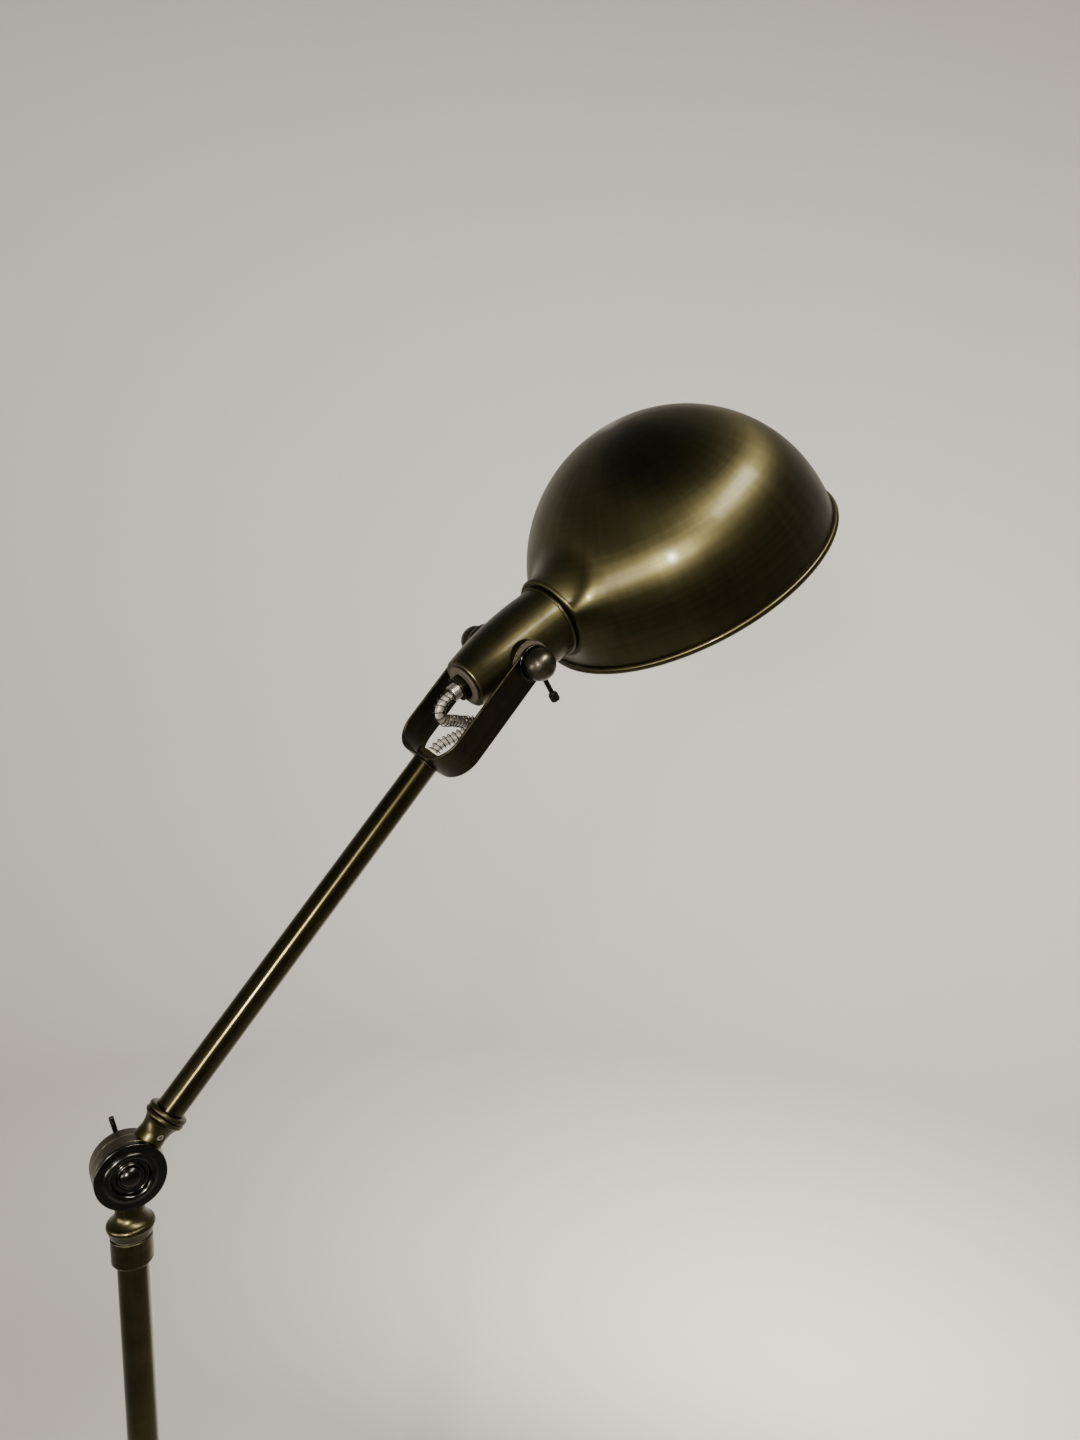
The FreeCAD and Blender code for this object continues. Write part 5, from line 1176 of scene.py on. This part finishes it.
def lead_path(name, place):
    """The lead's line as a NURBS curve object."""
    data = bpy.data.curves.new(name, "CURVE")
    data.dimensions = "3D"
    spline = data.splines.new("NURBS")
    spline.points.add(len(LEAD_LINE) - 1)
    for point, spot in zip(spline.points, LEAD_LINE):
        point.co = (*(place @ (Vector(spot) * MM)), 1)
    spline.order_u = 4
    spline.use_endpoint_u = True
    spline.resolution_u = 24
    path = bpy.data.objects.new(name, data)
    bpy.context.scene.collection.objects.link(path)
    return path


def path_points(path):
    graph = bpy.context.evaluated_depsgraph_get()
    mesh = bpy.data.meshes.new_from_object(path.evaluated_get(graph))
    points = np.array([vertex.co for vertex in mesh.vertices], float)
    bpy.data.meshes.remove(mesh)
    return points


def tube_along(points, radius, twist, around=20):
    """A capped tube along points, with a frame carried without twist and grain that winds."""
    ways = np.gradient(points, axis=0)
    ways /= np.linalg.norm(ways, axis=1)[:, None]
    side = np.cross(ways[0], (0, 1, 0))
    side /= np.linalg.norm(side)
    rows, skin_points, grain, around_way = [], [], [], []
    along, before = 0.0, points[0]
    for spot, way in zip(points, ways):
        side = side - way * (side @ way)
        side /= np.linalg.norm(side)
        other = np.cross(way, side)
        along += np.linalg.norm(spot - before)
        before = spot
        rows.append(list(range(len(skin_points), len(skin_points) + around)))
        for k in range(around):
            turn = 2 * math.pi * k / around
            skin_points.append(spot + (side * math.cos(turn) + other * math.sin(turn)) * radius)
            grain.append((turn * 1.6 + along * twist, math.sin(turn), along))
            around_way.append(way)
    faces = [list(reversed(rows[0])), rows[-1]]
    for one, two in zip(rows, rows[1:]):
        faces += [[one[k], one[(k + 1) % around], two[(k + 1) % around], two[k]]
                  for k in range(around)]
    return Skin(skin_points, faces, grain, around_way, np.zeros(len(skin_points)))


class LAMP_OT_lead(bpy.types.Operator):
    """Builds the clear lead between cup and fork and the wire spring wound round it"""

    bl_idname = "lamp.lead"
    bl_label = "Lead and spring"

    def execute(self, context):
        sizes = context.scene.lamp_sizes
        fork = places()["fork"]
        path = lead_path("lead_line", fork)
        points = path_points(path)
        cover = tube_along(points, sizes.lead_r, twist=900.0)
        lead = dress("lead", [cover], "Clear Lead", None, 80)
        wire = run_tree(wound_tree(), {
            "Path": path, "Winding Radius": sizes.spring_r, "Wire Radius": sizes.spring_wire,
            "Pitch": sizes.spring_pitch, "Step": sizes.spring_pitch / 26,
            "Finish": bpy.data.materials["Spring Wire"]})
        outward(wire)
        spring = settle("lead_spring_skin", wire, ["Spring Wire"], None, ["lead_spring"],
                        80)
        bpy.data.objects.remove(path)
        for piece in (lead, spring):
            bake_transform(piece)
        return {"FINISHED"}


# ================================================================ lampholder and bulb
class LAMP_OT_bulb(bpy.types.Operator):
    """Builds the lampholder, the ring that holds the shade, and the bulb"""

    bl_idname = "lamp.bulb"
    bl_label = "Bulb and holder"

    def execute(self, context):
        front, = millimetres(context.scene.lamp_sizes, "cup_front")
        head = places()["head"]
        holder = turned([
            (5.1, 5.5), (16, 5.5, 0.5), (16, front - 3), (20.6, front - 3, 0.3),
            (20.6, front, 0.4), (16, front), (16, 47, 0.6), (14.1, 47, 0.3), (14.1, 17),
            (5.1, 12.8)], head)
        dress("lampholder", [holder], "Holder Plastic", "head")
        low = front + 1.8
        ring = turned([(16, low), (21, low, 0.4), (21, low + 6, 0.8), (16, low + 6, 0.3)], head)
        dress("shade_ring", [ring], "Holder Plastic", "head")
        crests = []
        for k in range(7):
            up = 31 + 2.9 * k
            crests += [(12.2, up - 1.0), (12.9, up + 0.45, 0.5)]
        cap = turned([(0, 19.7), (4.2, 19.7, 0.5), (10.6, 26.4), (12.2, 28.2, 0.6)] + crests
                     + [(12.2, 51), (11.4, 51), (11.4, 31), (0, 31)], head)
        dress("bulb_cap", [cap], "Plain Steel", "head")
        wide, middle = 29.5, 118
        glass = turned([
            (12.6, 51), (13.6, 51), (wide * 0.78, middle - wide * 0.72, 75, RIGHT),
            (wide, middle, wide * 1.06, LEFT), (0, middle + wide, wide, LEFT),
            (0, middle + wide - 1), (wide - 1, middle, wide - 1, RIGHT),
            (wide * 0.78 - 0.75, middle - wide * 0.72 + 0.75, wide * 1.03, RIGHT),
            (12.6, 52, 76, LEFT)], head)
        dress("bulb_glass", [glass], "Lamp Glass", "head", 60)
        return {"FINISHED"}


# ================================================================ shade
def neck_section(turn, neck_r, rounding, web, hole, aside, ahead, dome_r, blend):
    """The neck's outline in the half plane at one angle round the cup's axis, from its hole
    to where it meets the dome, in millimetres."""
    dome_across = aside * math.cos(turn)
    section_r = math.sqrt(dome_r ** 2 - (aside * math.sin(turn)) ** 2)
    reach = section_r + blend
    centre_r = neck_r + blend
    centre_up = ahead - math.sqrt(reach ** 2 - (centre_r - dome_across) ** 2)
    shoulder = np.array((neck_r - rounding, web + rounding))
    if centre_up < shoulder[1]:
        to_dome = np.array((dome_across, ahead)) - shoulder
        span = np.linalg.norm(to_dome)
        near = rounding + blend
        along = (near ** 2 - reach ** 2 + span ** 2) / (2 * span)
        aside_way = np.array((to_dome[1], -to_dome[0])) / span
        centre = shoulder + to_dome / span * along
        centre = centre + aside_way * math.sqrt(near ** 2 - along ** 2)
        stop = math.atan2(centre[1] - shoulder[1], centre[0] - shoulder[0])
        last_up = None
    else:
        centre = np.array((centre_r, centre_up))
        stop, last_up = 0.0, centre_up
    points = [np.array((radius, web)) for radius in np.linspace(hole, neck_r - rounding, 5)]
    points += [shoulder + rounding * np.array((math.cos(a), math.sin(a)))
               for a in np.linspace(-math.pi / 2, stop, 15)[1:]]
    low = shoulder[1] if last_up is None else last_up
    points += [points[-1] + np.array((0, (low - shoulder[1]) * k / 4)) for k in range(1, 5)]
    first = points[-1] - centre
    last = np.array((dome_across, ahead)) - centre
    start = math.atan2(first[1], first[0])
    sweep = (math.atan2(last[1], last[0]) - start + math.pi) % (2 * math.pi) - math.pi
    points += [centre + blend * np.array((math.cos(start + sweep * t), math.sin(start + sweep * t)))
               for t in np.linspace(0, 1, 15)[1:]]
    return points


def dome_sheet(neck_r, rounding, web, hole, aside, ahead, dome_r, blend, pole, down, around,
               steps):
    """One side of the shade's sheet: the neck, its blend and the dome out to the rim, as
    rows of points in millimetres round the neck."""
    turns = np.linspace(0, 2 * math.pi, around, endpoint=False)
    sections = [neck_section(t, neck_r, rounding, web, hole, aside, ahead, dome_r, blend)
                for t in turns]
    rows = [np.array([(s[k][0] * math.cos(t), s[k][0] * math.sin(t), s[k][1])
                      for s, t in zip(sections, turns)]) for k in range(len(sections[0]))]
    centre = np.array((aside, 0, ahead))
    across = np.cross(pole, (0, 1, 0))
    across /= np.linalg.norm(across)
    other = np.cross(pole, across)
    rim = math.sqrt((dome_r + down) / (dome_r - down))
    ways = (rows[-1] - centre) / dome_r
    spread = 1 + ways @ pole
    flat = np.column_stack((ways @ across, ways @ other)) / spread[:, None]
    middle = flat.mean(0)
    rays = flat - middle
    long = (rays ** 2).sum(1)
    dot = rays @ middle
    reach = (-dot + np.sqrt(dot ** 2 - long * (middle @ middle - rim ** 2))) / long
    outer = middle + rays * reach[:, None]
    for share in np.linspace(0, 1, steps + 1)[1:] ** 1.35:
        spot = flat + (outer - flat) * share
        square = (spot ** 2).sum(1)[:, None]
        way = (2 * spot[:, :1] * across + 2 * spot[:, 1:] * other + (1 - square) * pole)
        rows.append(centre + dome_r * way / (1 + square))
    return rows


def shade_skin(rows, pole, centre, dome_r):
    """Rows of points round the neck as a skin, with grain that runs round the dome's pole."""
    around = len(rows[0])
    points = np.concatenate(rows)
    across = np.cross(pole, (0, 1, 0))
    across /= np.linalg.norm(across)
    other = np.cross(pole, across)
    ways = points - centre
    ways /= np.linalg.norm(ways, axis=1)[:, None]
    x, y = ways @ across, ways @ other
    flat = np.maximum(np.hypot(x, y), 1e-6)
    polar = np.arccos(np.clip(ways @ pole, -1, 1))
    grain = np.column_stack((x / flat, y / flat, polar * dome_r * MM))
    round_way = np.cross(pole, ways)
    round_way /= np.maximum(np.linalg.norm(round_way, axis=1), 1e-6)[:, None]
    faces = []
    for row in range(len(rows) - 1):
        for k in range(around):
            after = (k + 1) % around
            faces.append([row * around + k, row * around + after,
                          (row + 1) * around + after, (row + 1) * around + k])
    return Skin(points * MM, faces, grain, round_way, np.zeros(len(points)))


class JoinedSheet(Skin):
    """Several skins merged where their points meet."""

    def __init__(self, skins):
        offset, faces = 0, []
        for skin in skins:
            faces += [[corner + offset for corner in face] for face in skin.faces]
            offset += len(skin.points)
        super().__init__(np.concatenate([s.points for s in skins]), faces,
                         np.concatenate([s.grain for s in skins]),
                         np.concatenate([s.around for s in skins]),
                         np.concatenate([s.wear for s in skins]))

    def mesh(self, name):
        made = super().mesh(name)
        work = bmesh.new()
        work.from_mesh(made)
        bmesh.ops.remove_doubles(work, verts=work.verts, dist=1e-7)
        bmesh.ops.recalc_face_normals(work, faces=work.faces)
        work.to_mesh(made)
        work.free()
        return made


class LAMP_OT_shade(bpy.types.Operator):
    """Builds the dome shade with its neck and rolled rim"""

    bl_idname = "lamp.shade"
    bl_label = "Shade"

    def execute(self, context):
        sizes = context.scene.lamp_sizes
        dome_r, wall, aside, ahead, front = millimetres(
            sizes, "shade_r", "shade_wall", "shade_aside", "shade_ahead", "cup_front")
        place = places()["shade"]
        tilt = math.radians(90) + sizes.shade_slope
        pole = np.array((-math.sin(tilt), 0, math.cos(tilt)))
        centre = np.array((aside, 0, ahead))
        neck_r, rounding, blend, down = 27.5, 2.5, 30, 7.6
        web, hole = front + 0.3, 16.3
        around, steps = 320, 74
        outer = dome_sheet(neck_r, rounding, web, hole, aside, ahead, dome_r, blend, pole,
                           down - 2.2, around, steps)
        inner = dome_sheet(neck_r - wall, rounding - wall, web + wall, hole, aside, ahead,
                           dome_r - wall, blend + wall, pole, down - 1.2, around, steps)
        sheet = JoinedSheet([shade_skin(rows, pole, centre, dome_r) for rows in (
            outer, inner, [inner[0], outer[0]], [outer[-1], inner[-1]])])
        rim_in = math.sqrt((dome_r - wall) ** 2 - down ** 2) - 0.1
        roll_in, roll_out, roll_r, roll_high = 103.1, 105.1, 3.2, 5.2
        hem = turned([
            (rim_in, -down, 0.25), (roll_in, -down),
            (roll_out, -down + roll_high / 2, roll_r, LEFT),
            (roll_in, -down + roll_high, roll_r, LEFT), (rim_in + 0.9, -down + roll_high, 0.2)],
            Matrix.Translation(centre * MM) @ Matrix.Rotation(-tilt, 4, "Y"), around=384,
            finish=1)
        assemble("shade_skin", [sheet.moved(place), hem.moved(place)],
                 ["Spun Bronze", "Dark Bronze"], "shade_body", ["shade"], 50)
        return {"FINISHED"}


# ================================================================ plain CAD pieces
CAD_FINISHES = {
    "base_weight": "Cast Iron", "base_pad": "Felt", "base_washer": "Plain Steel",
    "base_nut": "Plain Steel", "base_pipe": "Plain Steel", "cord_inlet_bush": "Black Plastic",
    "foot_insert": "Plain Steel", "tube_couplers": "Plain Steel", "post_lead": "Black Plastic",
    "swivel_clip": "Plain Steel", "arm_stud": "Plain Steel", "arm_lead": "Clear Lead",
    "cup_lead": "Clear Lead", "fork_pipe": "Plain Steel", "pivot_studs": "Plain Steel",
    "fibre_washers": "Fibre", "screw_shell": "Brass", "centre_contact": "Brass",
}


class LAMP_OT_plain_pieces(bpy.types.Operator):
    """Gives the pieces kept from the frame their finishes"""

    bl_idname = "lamp.plain_pieces"
    bl_label = "Plain pieces"

    def execute(self, context):
        for name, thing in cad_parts.items():
            if thing.hide_render:
                continue
            if name not in CAD_FINISHES:
                raise RuntimeError("%s has no finish" % name)
            thing.data.materials.clear()
            thing.data.materials.append(bpy.data.materials[CAD_FINISHES[name]])
        return {"FINISHED"}


# ================================================================ stage
# The camera that took the photograph, fitted in the lamp's frame.
CAMERA_AT = Vector((-0.0734, -0.56955, 1.54654))
CAMERA_RIGHT = Vector((0.86928, -0.49428, 0.00606))
CAMERA_UP = Vector((0.07205, 0.13882, 0.98769))
CAMERA_LENS, CAMERA_SENSOR = 27.02, 36
# The highlight on the dome, and the ways from it in which the dome reflects the lights.
HIGHLIGHT = Vector((0.300, -0.065, 1.5425))
KEY_WAY = Vector((-0.683, -0.724, 0.094))
BAND_LOW_WAY, BAND_FAR_WAY = Vector((-0.30, -0.86, 0.42)), Vector((0.582, -0.191, 0.791))
LEFT_WAY = Vector((-0.971, -0.162, -0.176))
LEFT_ALONG = (-0.75 + 0.683, 0.587 + 0.724, -0.4)
WARM, WHITE = (1.0, 0.92, 0.78), (1.0, 0.97, 0.93)


def soft_light(name, spot, target, size, power, tone, along=(0, 0, 1)):
    """A soft rectangle of light, its long side lying along a direction."""
    data = bpy.data.lights.new(name, "AREA")
    data.shape = "RECTANGLE"
    data.size, data.size_y = size
    data.energy = power
    data.color = tone
    light = bpy.data.objects.new(name, data)
    back = (Vector(spot) - Vector(target)).normalized()
    long = (Vector(along) - back * back.dot(Vector(along))).normalized()
    turn = Matrix((long, back.cross(long), back)).transposed()
    light.matrix_world = Matrix.Translation(spot) @ turn.to_4x4()
    light.visible_camera = False
    bpy.context.scene.collection.objects.link(light)


class LAMP_OT_stage(bpy.types.Operator):
    """Sets up the pale floor and wall, the studio lights and the camera"""

    bl_idname = "lamp.stage"
    bl_label = "Stage"

    def execute(self, context):
        tree, shader = new_finish("Studio Paint")
        patina = placed_group(tree, "Patina", Size=2.0, Low=0.2, High=0.8)
        tone = tuple(context.scene.lamp_finish.wall)
        base = tinted(tree, shaded(tone, 0.97), tone, patina.outputs["Mask"])
        linked(tree, (base, shader.inputs["Base Color"]))
        shader.inputs["Roughness"].default_value = 0.85
        far, cove, tall, thick = 3600, 900, 5200, 10
        room = turned([(0, 0), (far - cove, 0), (far, cove, cove, LEFT), (far, tall),
                       (far + thick, tall), (far + thick, -thick), (0, -thick)],
                      Matrix.Identity(4), around=128)
        floor = assemble("studio_floor", [room], ["Studio Paint"], None, sharp=30)

        world = bpy.data.worlds.new("Studio")
        world.use_nodes = True
        background = world.node_tree.nodes["Background"]
        background.inputs["Color"].default_value = (0.78, 0.80, 0.84, 1)
        background.inputs["Strength"].default_value = 0.16
        context.scene.world = world

        band_way = (BAND_LOW_WAY + BAND_FAR_WAY).normalized()
        soft_light("key", HIGHLIGHT + KEY_WAY * 1.4, HIGHLIGHT, (0.10, 0.10), 40, WARM)
        soft_light("high_strip", HIGHLIGHT + band_way * 1.5, HIGHLIGHT, (1.3, 0.22), 50, WARM,
                   BAND_FAR_WAY - BAND_LOW_WAY)
        soft_light("left_strip", HIGHLIGHT + LEFT_WAY * 1.3, HIGHLIGHT, (0.8, 0.20), 10, WARM,
                   LEFT_ALONG)
        soft_light("wall_wash", (1.1, 0.6, 0.9), (2.6, 1.9, 0.55), (0.9, 0.9), 42, WARM)
        soft_light("wall_wash_high", (0.5, 0.9, 2.6), (1.4, 3.1, 1.6), (0.9, 0.9), 34, WHITE)

        data = bpy.data.cameras.new("camera")
        data.lens = CAMERA_LENS
        data.sensor_width = CAMERA_SENSOR
        data.dof.use_dof = False
        camera = bpy.data.objects.new("camera", data)
        turn = Matrix((CAMERA_RIGHT, CAMERA_UP, CAMERA_RIGHT.cross(CAMERA_UP))).transposed()
        camera.matrix_world = Matrix.Translation(CAMERA_AT) @ turn.to_4x4()
        context.scene.collection.objects.link(camera)
        context.scene.camera = camera
        return {"FINISHED"}


# ================================================================ panel, registering, running
BUILDERS = (LAMP_OT_finishes, LAMP_OT_base, LAMP_OT_post, LAMP_OT_knuckle, LAMP_OT_arm,
            LAMP_OT_fork, LAMP_OT_pivot, LAMP_OT_cup, LAMP_OT_lead, LAMP_OT_bulb,
            LAMP_OT_shade, LAMP_OT_plain_pieces, LAMP_OT_stage)


class LAMP_PT_panel(bpy.types.Panel):
    """Lists the lamp's sizes, colours and pieces"""

    bl_idname = "LAMP_PT_panel"
    bl_label = "Bridge Floor Lamp"
    bl_space_type = "VIEW_3D"
    bl_region_type = "UI"
    bl_category = "Lamp"

    def draw(self, context):
        for title, group in (("Stance", context.scene.lamp_stance),
                             ("Sizes", context.scene.lamp_sizes),
                             ("Finish", context.scene.lamp_finish)):
            box = self.layout.box()
            box.label(text=title)
            for name in type(group).__annotations__:
                box.prop(group, name)
        for builder in BUILDERS:
            self.layout.operator(builder.bl_idname)


CLASSES = (LampStance, LampSizes, LampFinish) + BUILDERS + (LAMP_PT_panel,)


def register():
    for kind in CLASSES:
        bpy.utils.register_class(kind)
    bpy.types.Scene.lamp_stance = bpy.props.PointerProperty(type=LampStance)
    bpy.types.Scene.lamp_sizes = bpy.props.PointerProperty(type=LampSizes)
    bpy.types.Scene.lamp_finish = bpy.props.PointerProperty(type=LampFinish)


def unregister():
    del bpy.types.Scene.lamp_finish
    del bpy.types.Scene.lamp_sizes
    del bpy.types.Scene.lamp_stance
    for kind in reversed(CLASSES):
        bpy.utils.unregister_class(kind)


def main():
    register()
    for builder in BUILDERS:
        group, name = builder.bl_idname.split(".")
        getattr(getattr(bpy.ops, group), name)()


if __name__ == "__main__":
    main()
